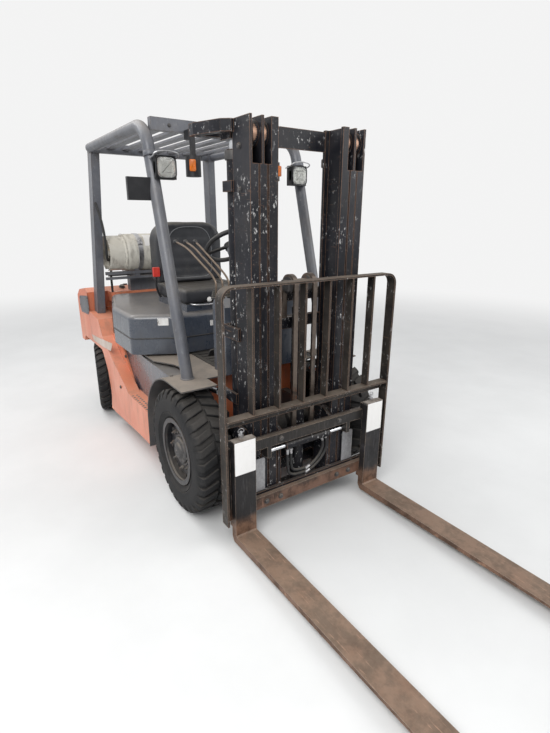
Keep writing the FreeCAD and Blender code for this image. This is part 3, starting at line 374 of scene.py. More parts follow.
@dataclass(frozen=True)
class Metal:
    """Bare steel or iron with brushed marks, rust and oil."""

    name: str
    colour: Colour
    rust: Colour = (0.16, 0.07, 0.035)
    rough: float = 0.35
    metal: float = 1.0
    rusted: float = 0.4
    oily: float = 0.2
    dust: float = 0.15
    skin: float = 0.0005

    def make(self) -> bpy.types.Material:
        """Return the metal as a material."""
        material, graph, shader = blank_material(self.name)
        place = graph.place()
        lines = graph.noise(place, 60.0, 4.0, 0.7)
        blot = graph.noise(place, 8.0, 8.0, 0.7)
        rusted = graph.step(graph.plus(blot, graph.times(lines, 0.25)), 0.86 - 0.4 * self.rusted,
            0.98 - 0.4 * self.rusted)
        oil = graph.group(EFFECTS.grime, vector=place, scale=6.0, amount=self.oily)
        dust = graph.group(EFFECTS.dust, vector=place, scale=7.0, amount=self.dust)
        bright = tuple(min(1.0, 1.45 * part) for part in self.colour)
        colour = graph.mix(graph.step(lines, 0.3, 0.75), self.colour, bright)
        colour = graph.mix(rusted, colour, graph.mix(graph.step(blot, 0.5, 0.8), self.rust,
            tuple(0.45 * part for part in self.rust)))
        colour = graph.mix(oil, colour, (0.02, 0.017, 0.014))
        colour = graph.mix(dust, colour, (0.33, 0.28, 0.22))
        graph.feed(shader.inputs["Base Color"], colour)
        rough = graph.blend(rusted, graph.blend(graph.step(lines, 0.3, 0.7), self.rough, self.rough + 0.15), 0.8)
        graph.feed(shader.inputs["Roughness"], graph.blend(dust, graph.blend(oil, rough, 0.3), 0.9))
        dull = graph.most(rusted, graph.most(oil, dust))
        graph.feed(shader.inputs["Metallic"], graph.times(graph.less(1.0, dull), self.metal))
        height = graph.weigh(lines, 0.3, rusted, 0.8)
        graph.feed(shader.inputs["Normal"], graph.bump(height, self.skin))
        return material


@dataclass(frozen=True)
class ForkSkin:
    """Rusty brown blades, dark oily shanks and light, rubbed shank tops, by height over the ground."""

    name: str
    blade: Colour
    shank: Colour
    blade_height: float
    top: Colour = (0.30, 0.28, 0.26)
    top_height: float = 0.572

    def make(self) -> bpy.types.Material:
        """Return the fork's finish as a material."""
        material, graph, shader = blank_material(self.name)
        place = graph.place()
        parts = graph.add("SeparateXYZ")
        graph.feed(parts.inputs[0], place)
        blot = graph.noise(place, 9.0, 7.0, 0.7)
        lines = graph.noise(graph.stretch(place, (0.10, 1.0, 0.10)), 90.0, 4.0, 0.7)
        height = graph.plus(parts.outputs["Z"], graph.times(graph.less(blot, 0.5), 0.10))
        rust = graph.mix(graph.step(blot, 0.42, 0.62), self.blade, tuple(0.42 * part for part in self.blade))
        rust = graph.mix(graph.step(lines, 0.58, 0.72), rust, tuple(min(1.0, 1.9 * part) for part in self.blade))
        dark = graph.mix(graph.step(lines, 0.52, 0.74), self.shank, tuple(3.2 * part for part in self.shank))
        colour = graph.mix(graph.step(height, self.blade_height, self.blade_height + 0.07), rust, dark)
        rubbed = graph.step(height, self.top_height, self.top_height + 0.02)
        colour = graph.mix(graph.times(rubbed, graph.step(lines, 0.30, 0.46)), colour, self.top)
        worn = graph.group(EFFECTS.edge, vector=place, radius=0.005, scale=30.0, amount=0.6)
        colour = graph.mix(worn, colour, (0.34, 0.27, 0.22))
        dust = graph.group(EFFECTS.dust, vector=place, scale=7.0, amount=0.35)
        graph.feed(shader.inputs["Base Color"], graph.mix(dust, colour, (0.36, 0.28, 0.21)))
        graph.feed(shader.inputs["Roughness"], graph.blend(dust, graph.blend(graph.step(blot, 0.4, 0.7), 0.40, 0.66),
            0.9))
        graph.feed(shader.inputs["Metallic"], graph.times(worn, 0.6))
        shader.inputs["Specular IOR Level"].default_value = 0.3
        shade = graph.weigh(lines, 0.4, blot, 0.8)
        graph.feed(shader.inputs["Normal"], graph.bump(shade, 0.0009))
        return material


@dataclass(frozen=True)
class Moulding:
    """Rubber, vinyl or plastic with a moulded grain and dust in its pores."""

    name: str
    colour: Colour
    chalk: Colour
    chalky: float = 0.3
    rough: float = 0.55
    dust: float = 0.2
    dust_colour: Colour = (0.33, 0.29, 0.23)
    grain: float = 220.0
    skin: float = 0.0003
    coat: float = 0.0
    shine: float = 0.4

    def make(self) -> bpy.types.Material:
        """Return the moulding as a material."""
        material, graph, shader = blank_material(self.name)
        place = graph.place()
        cells = graph.add("TexVoronoi", feature="SMOOTH_F1")
        graph.feed(cells.inputs["Vector"], place)
        cells.inputs["Scale"].default_value = self.grain
        blot = graph.noise(place, 7.0, 6.0, 0.65)
        chalk = graph.times(graph.step(blot, 0.40, 0.72), self.chalky)
        dust = graph.group(EFFECTS.dust, vector=place, scale=8.0, amount=self.dust)
        scuff = graph.group(EFFECTS.scuff, vector=place, scale=16.0, amount=self.chalky)
        colour = graph.mix(graph.most(chalk, scuff), self.colour, self.chalk)
        graph.feed(shader.inputs["Base Color"], graph.mix(dust, colour, self.dust_colour))
        graph.feed(shader.inputs["Roughness"], graph.blend(graph.most(dust, chalk), self.rough, 0.9))
        shader.inputs["Coat Weight"].default_value = self.coat
        shader.inputs["Specular IOR Level"].default_value = self.shine
        height = graph.weigh(cells.outputs["Distance"], 0.7, blot, 0.8)
        graph.feed(shader.inputs["Normal"], graph.bump(height, self.skin))
        return material


@dataclass(frozen=True)
class Lens:
    """Clear or tinted moulded lamp glass with ribs."""

    name: str
    colour: Colour
    clear: float = 0.8
    ribs: float = 120.0

    def make(self) -> bpy.types.Material:
        """Return the lens as a material."""
        material, graph, shader = blank_material(self.name)
        place = graph.place()
        wave = graph.add("TexWave", wave_type="BANDS", bands_direction="Y")
        graph.feed(wave.inputs["Vector"], place)
        wave.inputs["Scale"].default_value = self.ribs
        haze = graph.noise(place, 30.0, 4.0, 0.6)
        graph.feed(shader.inputs["Base Color"],
            graph.mix(graph.step(haze, 0.4, 0.8, 0.35), self.colour, (0.5, 0.46, 0.4)))
        graph.feed(shader.inputs["Roughness"], graph.blend(graph.step(haze, 0.4, 0.7), 0.06, 0.22))
        shader.inputs["Transmission Weight"].default_value = self.clear
        shader.inputs["IOR"].default_value = 1.49
        graph.feed(shader.inputs["Normal"], graph.bump(wave.outputs["Fac"], 0.0006))
        return material


class Finish(Enum):
    """Every finish on the truck."""

    ORANGE = Paint("orange paint", (0.62, 0.155, 0.062), (0.70, 0.23, 0.12), rough=0.36, coat=0.35, wear=0.30,
        grime=0.30,
                   dust=0.30, dust_colour=(0.50, 0.36, 0.28))
    ORANGE_CAST = Paint("orange cast iron paint", (0.62, 0.16, 0.07), (0.74, 0.27, 0.15), rough=0.42, coat=0.3,
        wear=0.3,
                        grime=0.28, dust=0.40, dust_colour=(0.52, 0.38, 0.30), skin=0.0016)
    DARK = Paint("dark blue grey paint", (0.032, 0.040, 0.058), (0.058, 0.068, 0.088), rough=0.27, coat=0.6, wear=0.25,
                 scuff=0.3, grime=0.25, dust=0.42, bare=(0.12, 0.10, 0.085))
    MAST = Paint("mast black paint", (0.0085, 0.009, 0.012), (0.020, 0.020, 0.025), rough=0.34, coat=0.05, wear=0.78,
                 scuff=0.7, grime=0.20, dust=0.12, bare=(0.22, 0.130, 0.085), bare_metal=0.45, flecks=0.9, shine=0.18)
    # The grey paint's dense scuffs stand for scratches. Its light grey flecks stand partly for peeling paint and partly
    # for painted highlight on the tubes.
    GREY = Paint("grey tube paint", (0.085, 0.090, 0.106), (0.150, 0.153, 0.168), rough=0.42, coat=0.15, wear=0.50,
                 scuff=0.9, grime=0.50, dust=0.38, flecks=0.35, fleck_colour=(0.30, 0.30, 0.31))
    DUSTY = Paint("dusty grey plate", (0.070, 0.068, 0.070), (0.13, 0.12, 0.115), rough=0.6, coat=0.0, wear=0.4,
                  scuff=0.6, grime=0.45, dust=0.85, dust_colour=(0.30, 0.25, 0.20))
    RIM = Paint("black rim paint", (0.012, 0.012, 0.014), (0.028, 0.028, 0.031), rough=0.34, coat=0.1, wear=0.30,
                scuff=0.3, grime=0.3, dust=0.14, shine=0.3)
    TANK = Paint("dirty white paint", (0.56, 0.53, 0.46), (0.70, 0.68, 0.61), rough=0.42, coat=0.15, wear=0.35,
                 grime=0.85, dust=0.35, dirt=(0.11, 0.085, 0.062), dust_colour=(0.40, 0.34, 0.26))
    FORK = ForkSkin("worn fork steel", blade=(0.185, 0.105, 0.068), shank=(0.016, 0.015, 0.016),
                    blade_height=0.10)
    BAR = ForkSkin("rusty bar steel", blade=(0.150, 0.082, 0.055), shank=(0.020, 0.018, 0.017), blade_height=0.165,
        top_height=9.0)
    ZINC = Metal("worn zinc plate", (0.33, 0.33, 0.34), rusted=0.15, rough=0.42, oily=0.35, dust=0.15, metal=0.7)
    STRIPE = Paint("worn pale stripe", (0.47, 0.37, 0.30), (0.58, 0.50, 0.44), rough=0.5, coat=0.1, wear=0.3, scuff=0.6,
                   grime=0.45, dust=0.35, dirt=(0.30, 0.14, 0.09))
    SIGN = Paint("white blank sign", (0.80, 0.79, 0.77), (0.88, 0.87, 0.86), rough=0.45, coat=0.1, wear=0.05,
        scuff=0.25,
                 grime=0.10, dust=0.08, dirt=(0.35, 0.30, 0.25))
    IRON = Metal("oily iron", (0.075, 0.072, 0.072), rusted=0.42, oily=0.7, dust=0.45, metal=0.55, rough=0.5)
    CHROME = Metal("polished rod", (0.62, 0.63, 0.65), rusted=0.0, rough=0.12, oily=0.12, dust=0.05, skin=0.0001)
    CHAIN = Metal("greased chain", (0.16, 0.13, 0.11), rusted=0.45, oily=0.8, rough=0.38, dust=0.1)
    STEEL = Metal("plated steel", (0.42, 0.42, 0.43), rusted=0.25, rough=0.3, oily=0.3, dust=0.2)
    TYRE = Moulding("tyre rubber", (0.014, 0.014, 0.015), (0.048, 0.046, 0.044), chalky=0.50, rough=0.72, dust=0.34,
                    dust_colour=(0.13, 0.115, 0.098), skin=0.0012, grain=90.0, shine=0.25)
    VINYL = Moulding("seat vinyl", (0.020, 0.021, 0.025), (0.055, 0.056, 0.062), chalky=0.35, rough=0.42, dust=0.28,
                     grain=420.0, skin=0.00025, coat=0.08)
    PLASTIC = Moulding("black plastic", (0.014, 0.014, 0.016), (0.05, 0.05, 0.052), chalky=0.3, rough=0.45, dust=0.2)
    HOSE = Moulding("hose rubber", (0.016, 0.016, 0.017), (0.045, 0.043, 0.041), chalky=0.3, rough=0.58, dust=0.25)
    AMBER = Lens("amber lens", (0.95, 0.24, 0.02), clear=0.35)
    CLEAR = Lens("clear lens", (0.93, 0.94, 0.91), clear=0.85)
    RED = Moulding("red plastic", (0.55, 0.030, 0.020), (0.62, 0.12, 0.09), chalky=0.3, rough=0.35, dust=0.15)
    PIPING = Moulding("grey piping", (0.16, 0.165, 0.175), (0.28, 0.28, 0.29), chalky=0.3, rough=0.5, dust=0.2)
    BOWL = Metal("lamp reflector", (0.80, 0.80, 0.78), rusted=0.0, rough=0.42, oily=0.0, dust=0.05, metal=0.5,
        skin=0.0002)
    ROLLER = Metal("worn roller steel", (0.36, 0.225, 0.160), rusted=0.35, rough=0.34, oily=0.25, dust=0.05)
    BACKREST = Paint("worn backrest paint", (0.016, 0.0145, 0.014), (0.050, 0.043, 0.037), rough=0.48, coat=0.0,
        wear=1.0,
                     scuff=0.7, grime=0.35, dust=0.50, dust_colour=(0.25, 0.20, 0.155), bare=(0.21, 0.135, 0.095),
                     flecks=0.5, shine=0.22)
    BROWN = Metal("brown lever steel", (0.20, 0.155, 0.120), rust=(0.14, 0.075, 0.045), rusted=0.35, rough=0.38,
        dust=0.1)
    BRASS = Metal("dull brass", (0.46, 0.32, 0.13), rust=(0.12, 0.09, 0.04), rusted=0.2, rough=0.36, dust=0.2)
    BLANK = Paint("blank label", (0.74, 0.73, 0.70), (0.83, 0.82, 0.80), rough=0.5, coat=0.1, wear=0.1, scuff=0.3,
                  grime=0.35, dust=0.25, dirt=(0.25, 0.2, 0.16))

    def material(self) -> bpy.types.Material:
        """Return the finish's material, made on its first use."""
        found = bpy.data.materials.get(self.value.name)
        return found or self.value.make()


CAD_FINISHES: dict[Finish, str] = {
    Finish.ORANGE: "frame",
    Finish.ORANGE_CAST: "counterweight",
    Finish.DARK: "hood cowl step_walls seat_base",
    Finish.MAST: "mast_outer mast_middle mast_inner lift_barrels free_barrel carriage shift_cylinder",
    Finish.GREY: "guard_tubes guard_legs guard_roof tank_cradle steering_column",
    Finish.DUSTY: "fenders floor_plate",
    Finish.RIM: "front_rim_right front_rim_left rear_rim_right rear_rim_left",
    Finish.TANK: "gas_tank",
    Finish.FORK: "fork_right fork_left",
    Finish.BAR: "shift_frame",
    Finish.BACKREST: "backrest",
    Finish.IRON: "drive_axle steer_axle engine knuckle_right knuckle_left crosshead tilt_barrels tilt_anchors",
    Finish.CHROME: "lift_rods tilt_rods shift_rod levers",
    Finish.CHAIN: "lift_chains",
    Finish.TYRE: "front_tyre_right front_tyre_left rear_tyre_right rear_tyre_left",
    Finish.VINYL: "seat_cushion seat_back",
    Finish.PLASTIC: "headlights signal_lamps mirror_right steering_wheel",
    Finish.HOSE: "gas_hose",
}
"""The finish of each CAD node that stays in view."""


def dress_cad_nodes() -> None:
    """Give every CAD node its finish."""
    for finish, names in CAD_FINISHES.items():
        for name in names.split():
            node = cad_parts[name]
            if not node.material_slots:
                node.data.materials.append(finish.material())
            for slot in node.material_slots:
                slot.material = finish.material()


@dataclass
class Studio:
    """The camera, the floor and the lamps."""

    eye: Point = (2.2289, -1.4513, 1.6069)
    yaw: float = 34.195
    pitch: float = 17.952
    roll: float = 0.238
    focal: float = 463.24
    frame_height: float = 733.0
    sensor: float = 24.0
    near: float = 3.2
    far: float = 9.0
    backdrop: Colour = (0.90, 0.90, 0.90)

    def camera(self) -> None:
        """Set the camera where the photograph was taken from."""
        data = bpy.data.cameras.new("camera")
        data.sensor_fit = "VERTICAL"
        data.sensor_height = self.sensor
        data.lens = self.sensor * self.focal / self.frame_height
        data.clip_end = 100.0
        yaw, pitch, roll = (math.radians(angle) for angle in (self.yaw, self.pitch, self.roll))
        ahead = Vector((-math.cos(yaw) * math.cos(pitch), math.sin(yaw) * math.cos(pitch), -math.sin(pitch)))
        right = ahead.cross(Vector(UP)).normalized()
        up = right.cross(ahead)
        level_right = math.cos(roll) * right + math.sin(roll) * up
        level_up = math.cos(roll) * up - math.sin(roll) * right
        turn = Matrix((level_right, level_up, -ahead)).transposed()
        holder = bpy.data.objects.new("camera", data)
        holder.matrix_world = Matrix.Translation(Vector(self.eye) + Vector((AXLE_X, 0.0, 0.0))) @ turn.to_4x4()
        bpy.context.scene.collection.objects.link(holder)
        bpy.context.scene.camera = holder

    def floor(self) -> None:
        """Lay a wide pale floor."""
        clear_selection()
        bpy.ops.mesh.primitive_circle_add(vertices=96, radius=40.0, fill_type="NGON", location=(0.0, 0.0, -0.0005))
        ground = bpy.context.object
        ground.name = "floor"
        settle(ground)
        material, graph, shader = blank_material("pale floor")
        cloud = graph.noise(graph.place(), 1.5, 5.0, 0.6)
        graph.feed(shader.inputs["Base Color"],
            graph.mix(graph.step(cloud, 0.3, 0.7), (0.70, 0.70, 0.69), (0.74, 0.74, 0.73)))
        shader.inputs["Roughness"].default_value = 0.8
        reach = graph.add("VectorMath", operation="LENGTH")
        graph.feed(reach.inputs[0], graph.place())
        rays = graph.add("LightPath")
        away = graph.times(graph.step(reach.outputs["Value"], self.near, self.far), rays.outputs["Is Camera Ray"])
        glow = graph.add("Emission")
        glow.inputs["Color"].default_value = (*self.backdrop, 1.0)
        both = graph.add("MixShader")
        graph.feed(both.inputs[0], away)
        graph.feed(both.inputs[1], shader.outputs[0])
        graph.feed(both.inputs[2], glow.outputs[0])
        graph.feed(material.node_tree.nodes["Material Output"].inputs["Surface"], both.outputs[0])
        ground.data.materials.append(material)

    def sky(self) -> None:
        """Light the whole scene evenly, with a pale backdrop behind it."""
        world = bpy.data.worlds.new("studio")
        bpy.context.scene.world = world
        world.use_nodes = True
        graph = Graph(world.node_tree)
        soft = world.node_tree.nodes["Background"]
        soft.inputs["Color"].default_value = (0.95, 0.97, 1.0, 1.0)
        soft.inputs["Strength"].default_value = 0.62
        pale = graph.add("Background")
        pale.inputs["Color"].default_value = (*self.backdrop, 1.0)
        rays = graph.add("LightPath")
        seen = graph.most(rays.outputs["Is Camera Ray"], graph.times(rays.outputs["Is Glossy Ray"], 0.75))
        seen = graph.most(seen, rays.outputs["Is Transmission Ray"])
        both = graph.add("MixShader")
        graph.feed(both.inputs[0], seen)
        graph.feed(both.inputs[1], soft.outputs[0])
        graph.feed(both.inputs[2], pale.outputs[0])
        graph.feed(world.node_tree.nodes["World Output"].inputs["Surface"], both.outputs[0])

    def lamps(self) -> None:
        """Hang three large soft lamps."""
        table = (
            ("key lamp", (3.2, -3.6, 4.6), 3.2, 210.0),
            ("fill lamp", (3.4, 3.4, 3.2), 3.0, 90.0),
            ("top lamp", (-2.5, -2.0, 4.8), 3.4, 130.0),
        )
        for name, place, size, watts in table:
            data = bpy.data.lights.new(name, "AREA")
            data.size = size
            data.energy = watts
            lamp = bpy.data.objects.new(name, data)
            lamp.location = place
            aim = Vector((0.2, 0.0, 0.8)) - Vector(place)
            lamp.rotation_euler = aim.to_track_quat("-Z", "Y").to_euler()
            bpy.context.scene.collection.objects.link(lamp)

    def build(self) -> None:
        """Set up the whole studio."""
        bpy.context.scene.view_settings.view_transform = "Standard"
        self.camera()
        self.floor()
        self.sky()
        self.lamps()
        log.info("studio ready")


def clear_selection() -> None:
    """Deselect every object."""
    bpy.ops.object.select_all(action="DESELECT")


def choose(*pieces: Thing) -> None:
    """Select some objects alone, and make the first of them the active one."""
    clear_selection()
    for piece in pieces:
        piece.select_set(True)
    bpy.context.view_layer.objects.active = pieces[0]


def link(name: str, data: bpy.types.ID) -> Thing:
    """Put a new object with some data into the scene."""
    thing = bpy.data.objects.new(name, data)
    bpy.context.scene.collection.objects.link(thing)
    return thing


def settle(piece: Thing) -> Thing:
    """Move a piece's place, turn and size into its mesh, and return it."""
    choose(piece)
    bpy.ops.object.transform_apply(location=True, rotation=True, scale=True)
    return piece


Test = Callable[[Vector, Vector], bool]


def at(x: float, y: float, z: float) -> Vector:
    """Return a point given from the front axle, as the part's frame counts it."""
    return Vector((x + AXLE_X, y, z))


def everything(_middle: Vector, _way: Vector) -> bool:
    """Pass every part of a mesh."""
    return True


def facing(way: Point, least: float = 0.9) -> Test:
    """Return a test for parts that point along a direction."""
    aim = Vector(way).normalized()
    return lambda _middle, normal: normal.dot(aim) > least


def along(axis: int) -> Test:
    """Return a test for edges that run along an axis, 0 to 2."""
    return lambda _middle, run: abs(run[axis]) > 0.9


def circle(count: int, radius: float, start: float = 0.0) -> list[tuple[float, float]]:
    """Return points spread evenly round a circle, from a first turn on."""
    turns = [math.tau * index / count + start for index in range(count)]
    return [(radius * math.cos(turn), radius * math.sin(turn)) for turn in turns]


def spin(steps: int, angle: float, dupli: bool = False) -> Callable[[], object]:
    """Return the operator that turns the chosen parts about Z."""
    return lambda: bpy.ops.mesh.spin(steps=steps, angle=angle, dupli=dupli, center=STILL, axis=UP)


def outwards() -> None:
    """Turn the chosen faces to look outwards."""
    bpy.ops.mesh.normals_make_consistent(inside=False)


def fill() -> None:
    """Close the open ends of the chosen parts."""
    bpy.ops.mesh.fill_holes(sides=0)


def weld() -> None:
    """Merge doubled vertices of the whole mesh."""
    bpy.ops.mesh.select_all(action="SELECT")
    bpy.ops.mesh.remove_doubles(threshold=1e-5)


def mounted(spot: Vector, normal: Vector, rise: Vector = Vector(UP), turn: float = 0.0) -> Matrix:
    """Return a place on a surface.

    Args:
        spot: the point on the surface.
        normal: the way it faces, which becomes local Z.
        rise: the way that local Y follows as far as the surface lets it.
        turn: a last turn about local Z, in radians.

    Returns:
        The matrix of that place.
    """
    if abs(rise.dot(normal)) > 0.98:
        rise = Vector(FRONT)
    level = (rise - rise.dot(normal) * normal).normalized()
    axes = Matrix((level.cross(normal), level, normal)).transposed().to_4x4()
    return Matrix.Translation(spot) @ axes @ Matrix.Rotation(turn, 4, "Z")


def surface(node: str, start: Vector, aim: Point) -> tuple[Vector, Vector] | None:
    """Find where a line first meets a CAD node.

    Args:
        node: the CAD node's name.
        start: where the line starts.
        aim: the way it goes.

    Returns:
        The point and the way the surface faces there, or nothing for a miss.
    """
    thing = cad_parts[node]
    back = thing.matrix_world.inverted()
    hit, spot, normal, _face = thing.ray_cast(back @ start, (back.to_3x3() @ Vector(aim)).normalized())
    if not hit:
        log.warning("no surface of %s at %s", node, tuple(round(part, 3) for part in start))
        return None
    return thing.matrix_world @ spot, (thing.matrix_world.to_3x3() @ normal).normalized()


class Shape:
    """A mesh in the making, cut and pushed with Blender's own edit operators."""

    def __init__(self, thing: Thing) -> None:
        """Work on an object whose place is already in its mesh."""
        self.thing = thing

    @classmethod
    def block(cls, name: str, low: Sequence[float], high: Sequence[float]) -> "Shape":
        """Start from a box between two corners."""
        clear_selection()
        bpy.ops.mesh.primitive_cube_add(size=1.0)
        thing = bpy.context.object
        thing.name = name
        thing.location = [(first + last) / 2 for first, last in zip(low, high)]
        thing.scale = [last - first for first, last in zip(low, high)]
        return cls(settle(thing))

    @classmethod
    def slab(cls, name: str, wide: float, high: float, thick: float, corner: float, segments: int = 3) -> "Shape":
        """Start from a flat plate on the origin, given by half its width and height, with rounded corners."""
        return cls.block(name, (-wide, -high, 0.0), (wide, high, thick)).bevel(along(2), corner, segments)

    @classmethod
    def outline(cls, name: str, points: Sequence[Sequence[float]], kind: str = "face") -> "Shape":
        """Start from points in a row.

        Args:
            name: the piece's name.
            points: the points, in order.
            kind: "face" for one flat face, "loop" for a closed line, "line" for an open one.

        Returns:
            The shape.
        """
        count = len(points)
        edges = [] if kind == "face" else [(index, (index + 1) % count) for index in range(count - (kind == "line"))]
        mesh = bpy.data.meshes.new(name)
        mesh.from_pydata([tuple(point) for point in points], edges, [tuple(range(count))] if kind == "face" else [])
        return cls(link(name, mesh))

    @classmethod
    def disc(cls, name: str, radius: float, height: float, sides: int = 24) -> "Shape":
        """Start from a round plate that stands on the origin along Z."""
        return cls.outline(name, [(x, y, 0.0) for x, y in circle(sides, radius)]).extrude(everything,
            (0.0, 0.0, height))

    @classmethod
    def lathe(cls, name: str, line: Sequence[tuple[float, float]], place: Matrix, steps: int = 32,
            kind: str = "line") -> "Shape":
        """Start from a line of radius and height turned about the Z of a place.

        Args:
            name: the piece's name.
            line: pairs of radius and height.
            place: where the axis and the height 0 lie.
            steps: the steps of the full turn.
            kind: "line" for an open line that ends on the axis, "loop" for a ring's section.

        Returns:
            The shape.
        """
        shape = cls.outline(name, [(radius, 0.0, height) for radius, height in line], kind)
        shape.work("EDGE", everything, spin(steps, math.tau), weld)
        return shape.place(place)

    @classmethod
    def rod(cls, name: str, points: Sequence[Vector], radius: float, smooth: bool = True,
            loop: bool = False) -> "Shape":
        """Start from a round rod along a route.

        Args:
            name: the piece's name.
            points: the route's points.
            radius: the rod's radius.
            smooth: whether the route is a smooth curve near the points, or straight from one to the next.
            loop: whether it closes on itself.

        Returns:
            The shape.
        """
        data = bpy.data.curves.new(name, "CURVE")
        data.dimensions = "3D"
        data.bevel_depth = radius
        data.bevel_resolution = 2
        data.use_fill_caps = True
        route = data.splines.new("NURBS" if smooth else "POLY")
        route.points.add(len(points) - 1)
        for spot, point in zip(route.points, points):
            spot.co = (*point, 1.0)
        route.use_cyclic_u = loop
        if smooth:
            route.order_u = 3
            route.use_endpoint_u = True
            route.resolution_u = 8
        choose(link(name, data))
        bpy.ops.object.convert(target="MESH")
        return cls(bpy.context.object)

    @staticmethod
    def sense(part: object) -> tuple[Vector, Vector]:
        """Return the middle of a vertex, edge or face, and its normal or its run."""
        if isinstance(part, bmesh.types.BMVert):
            return part.co, part.normal
        middle = sum((vert.co for vert in part.verts), Vector()) / len(part.verts)
        if isinstance(part, bmesh.types.BMEdge):
            return middle, (part.verts[1].co - part.verts[0].co).normalized()
        return middle, part.normal

    def work(self, kind: str, test: Test, *steps: Callable[[], object]) -> "Shape":
        """Run edit operators on some parts of the mesh.

        Args:
            kind: "VERT", "EDGE" or "FACE".
            test: which of them, by middle and normal or run.
            steps: the operators, in order.

        Returns:
            The shape itself.
        """
        choose(self.thing)
        bpy.ops.object.mode_set(mode="EDIT")
        bpy.ops.mesh.select_mode(type=kind)
        bpy.ops.mesh.select_all(action="DESELECT")
        mesh = bmesh.from_edit_mesh(self.thing.data)
        mesh.normal_update()
        parts = {"VERT": mesh.verts, "EDGE": mesh.edges, "FACE": mesh.faces}[kind]
        chosen = [part for part in parts if test(*self.sense(part))]
        for part in chosen:
            part.select_set(True)
        bmesh.update_edit_mesh(self.thing.data)
        if chosen:
            for step in steps:
                step()
        bpy.ops.object.mode_set(mode="OBJECT")
        return self

    def extrude(self, test: Test, move: Sequence[float]) -> "Shape":
        """Push the chosen faces out along a direction."""
        return self.work("FACE", test,
            lambda: bpy.ops.mesh.extrude_region_move(TRANSFORM_OT_translate={"value": tuple(move)}))

    def inset(self, test: Test, width: float, depth: float = 0.0) -> "Shape":
        """Set the chosen faces in from their edges, and up or down."""
        return self.work("FACE", test, lambda: bpy.ops.mesh.inset(thickness=width, depth=depth))

    def bevel(self, test: Test, width: float, segments: int = 2) -> "Shape":
        """Round the chosen edges."""
        return self.work("EDGE", test, lambda: bpy.ops.mesh.bevel(offset=width, segments=segments, affect="EDGES"))

    def shift(self, kind: str, test: Test, move: Sequence[float]) -> "Shape":
        """Move the chosen parts."""
        return self.work(kind, test, lambda: bpy.ops.transform.translate(value=tuple(move)))

    def subdivide(self, test: Test, cuts: int) -> "Shape":
        """Cut the chosen faces into smaller ones."""
        return self.work("FACE", test, lambda: bpy.ops.mesh.subdivide(number_cuts=cuts))

    def place(self, place: Matrix) -> "Shape":
        """Put the mesh at a place."""
        self.thing.matrix_world = place
        settle(self.thing)
        return self

    def modify(self, kind: str, **settings: object) -> "Shape":
        """Add a modifier and apply it."""
        modifier = self.thing.modifiers.new(kind.lower(), kind)
        for name, value in settings.items():
            setattr(modifier, name, value)
        choose(self.thing)
        bpy.ops.object.modifier_apply(modifier=modifier.name)
        return self

    def join(self, *others: "Shape") -> "Shape":
        """Take other shapes into this mesh."""
        choose(self.thing, *(shape.thing for shape in others))
        bpy.ops.object.join()
        return self

    def copies(self, name: str, places: Iterable[Matrix]) -> "Shape":
        """Put a copy with its own mesh at each place, as one shape, and drop the model."""
        shapes = []
        for place in places:
            shapes.append(Shape(link(name, self.thing.data.copy())).place(place))
        bpy.data.objects.remove(self.thing)
        return shapes[0].join(*shapes[1:])

    def twin(self, name: str) -> "Shape":
        """Return a copy mirrored to the other side of the truck."""
        return Shape(link(name, self.thing.data.copy())).place(Matrix.Diagonal((1.0, -1.0, 1.0, 1.0)))

    def merge(self, name: str, *others: "Shape") -> "Shape":
        """Take other shapes in and give the whole its name."""
        self.join(*others).thing.name = name
        return self

    def both(self, body: str, finish: Finish) -> None:
        """Close the work on a piece of the right side and on its twin on the left."""
        self.twin(self.thing.name.replace("right", "left")).done(body, finish)
        self.done(body, finish)

    def done(self, body: str, finish: Finish, *replaced: str, angle: float = 35.0) -> Thing:
        """Close the work on a piece.

        Args:
            body: the body that it rides on.
            finish: its finish.
            replaced: the CAD nodes that it stands for.
            angle: the corners up to which it shades smooth, in degrees.

        Returns:
            The finished piece.
        """
        self.work("FACE", everything, outwards)
        bpy.ops.object.shade_smooth_by_angle(angle=math.radians(angle))
        self.thing.data.materials.clear()
        self.thing.data.materials.append(finish.material())
        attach(self.thing, body)
        if replaced:
            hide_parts(*replaced)
        log.info("%s on %s: %d faces", self.thing.name, body, len(self.thing.data.polygons))
        return self.thing


def hex_bolt(size: float) -> Shape:
    """Model a hexagon head on its washer, standing on the origin along Z."""
    washer = Shape.disc("washer", 1.3 * size, 0.22 * size, 16)
    head = Shape.disc("head", size, 0.85 * size, 6)
    top = 0.84 * size
    head.bevel(lambda middle, _run: middle.z > top, 0.14 * size, 1)
    return washer.join(head)


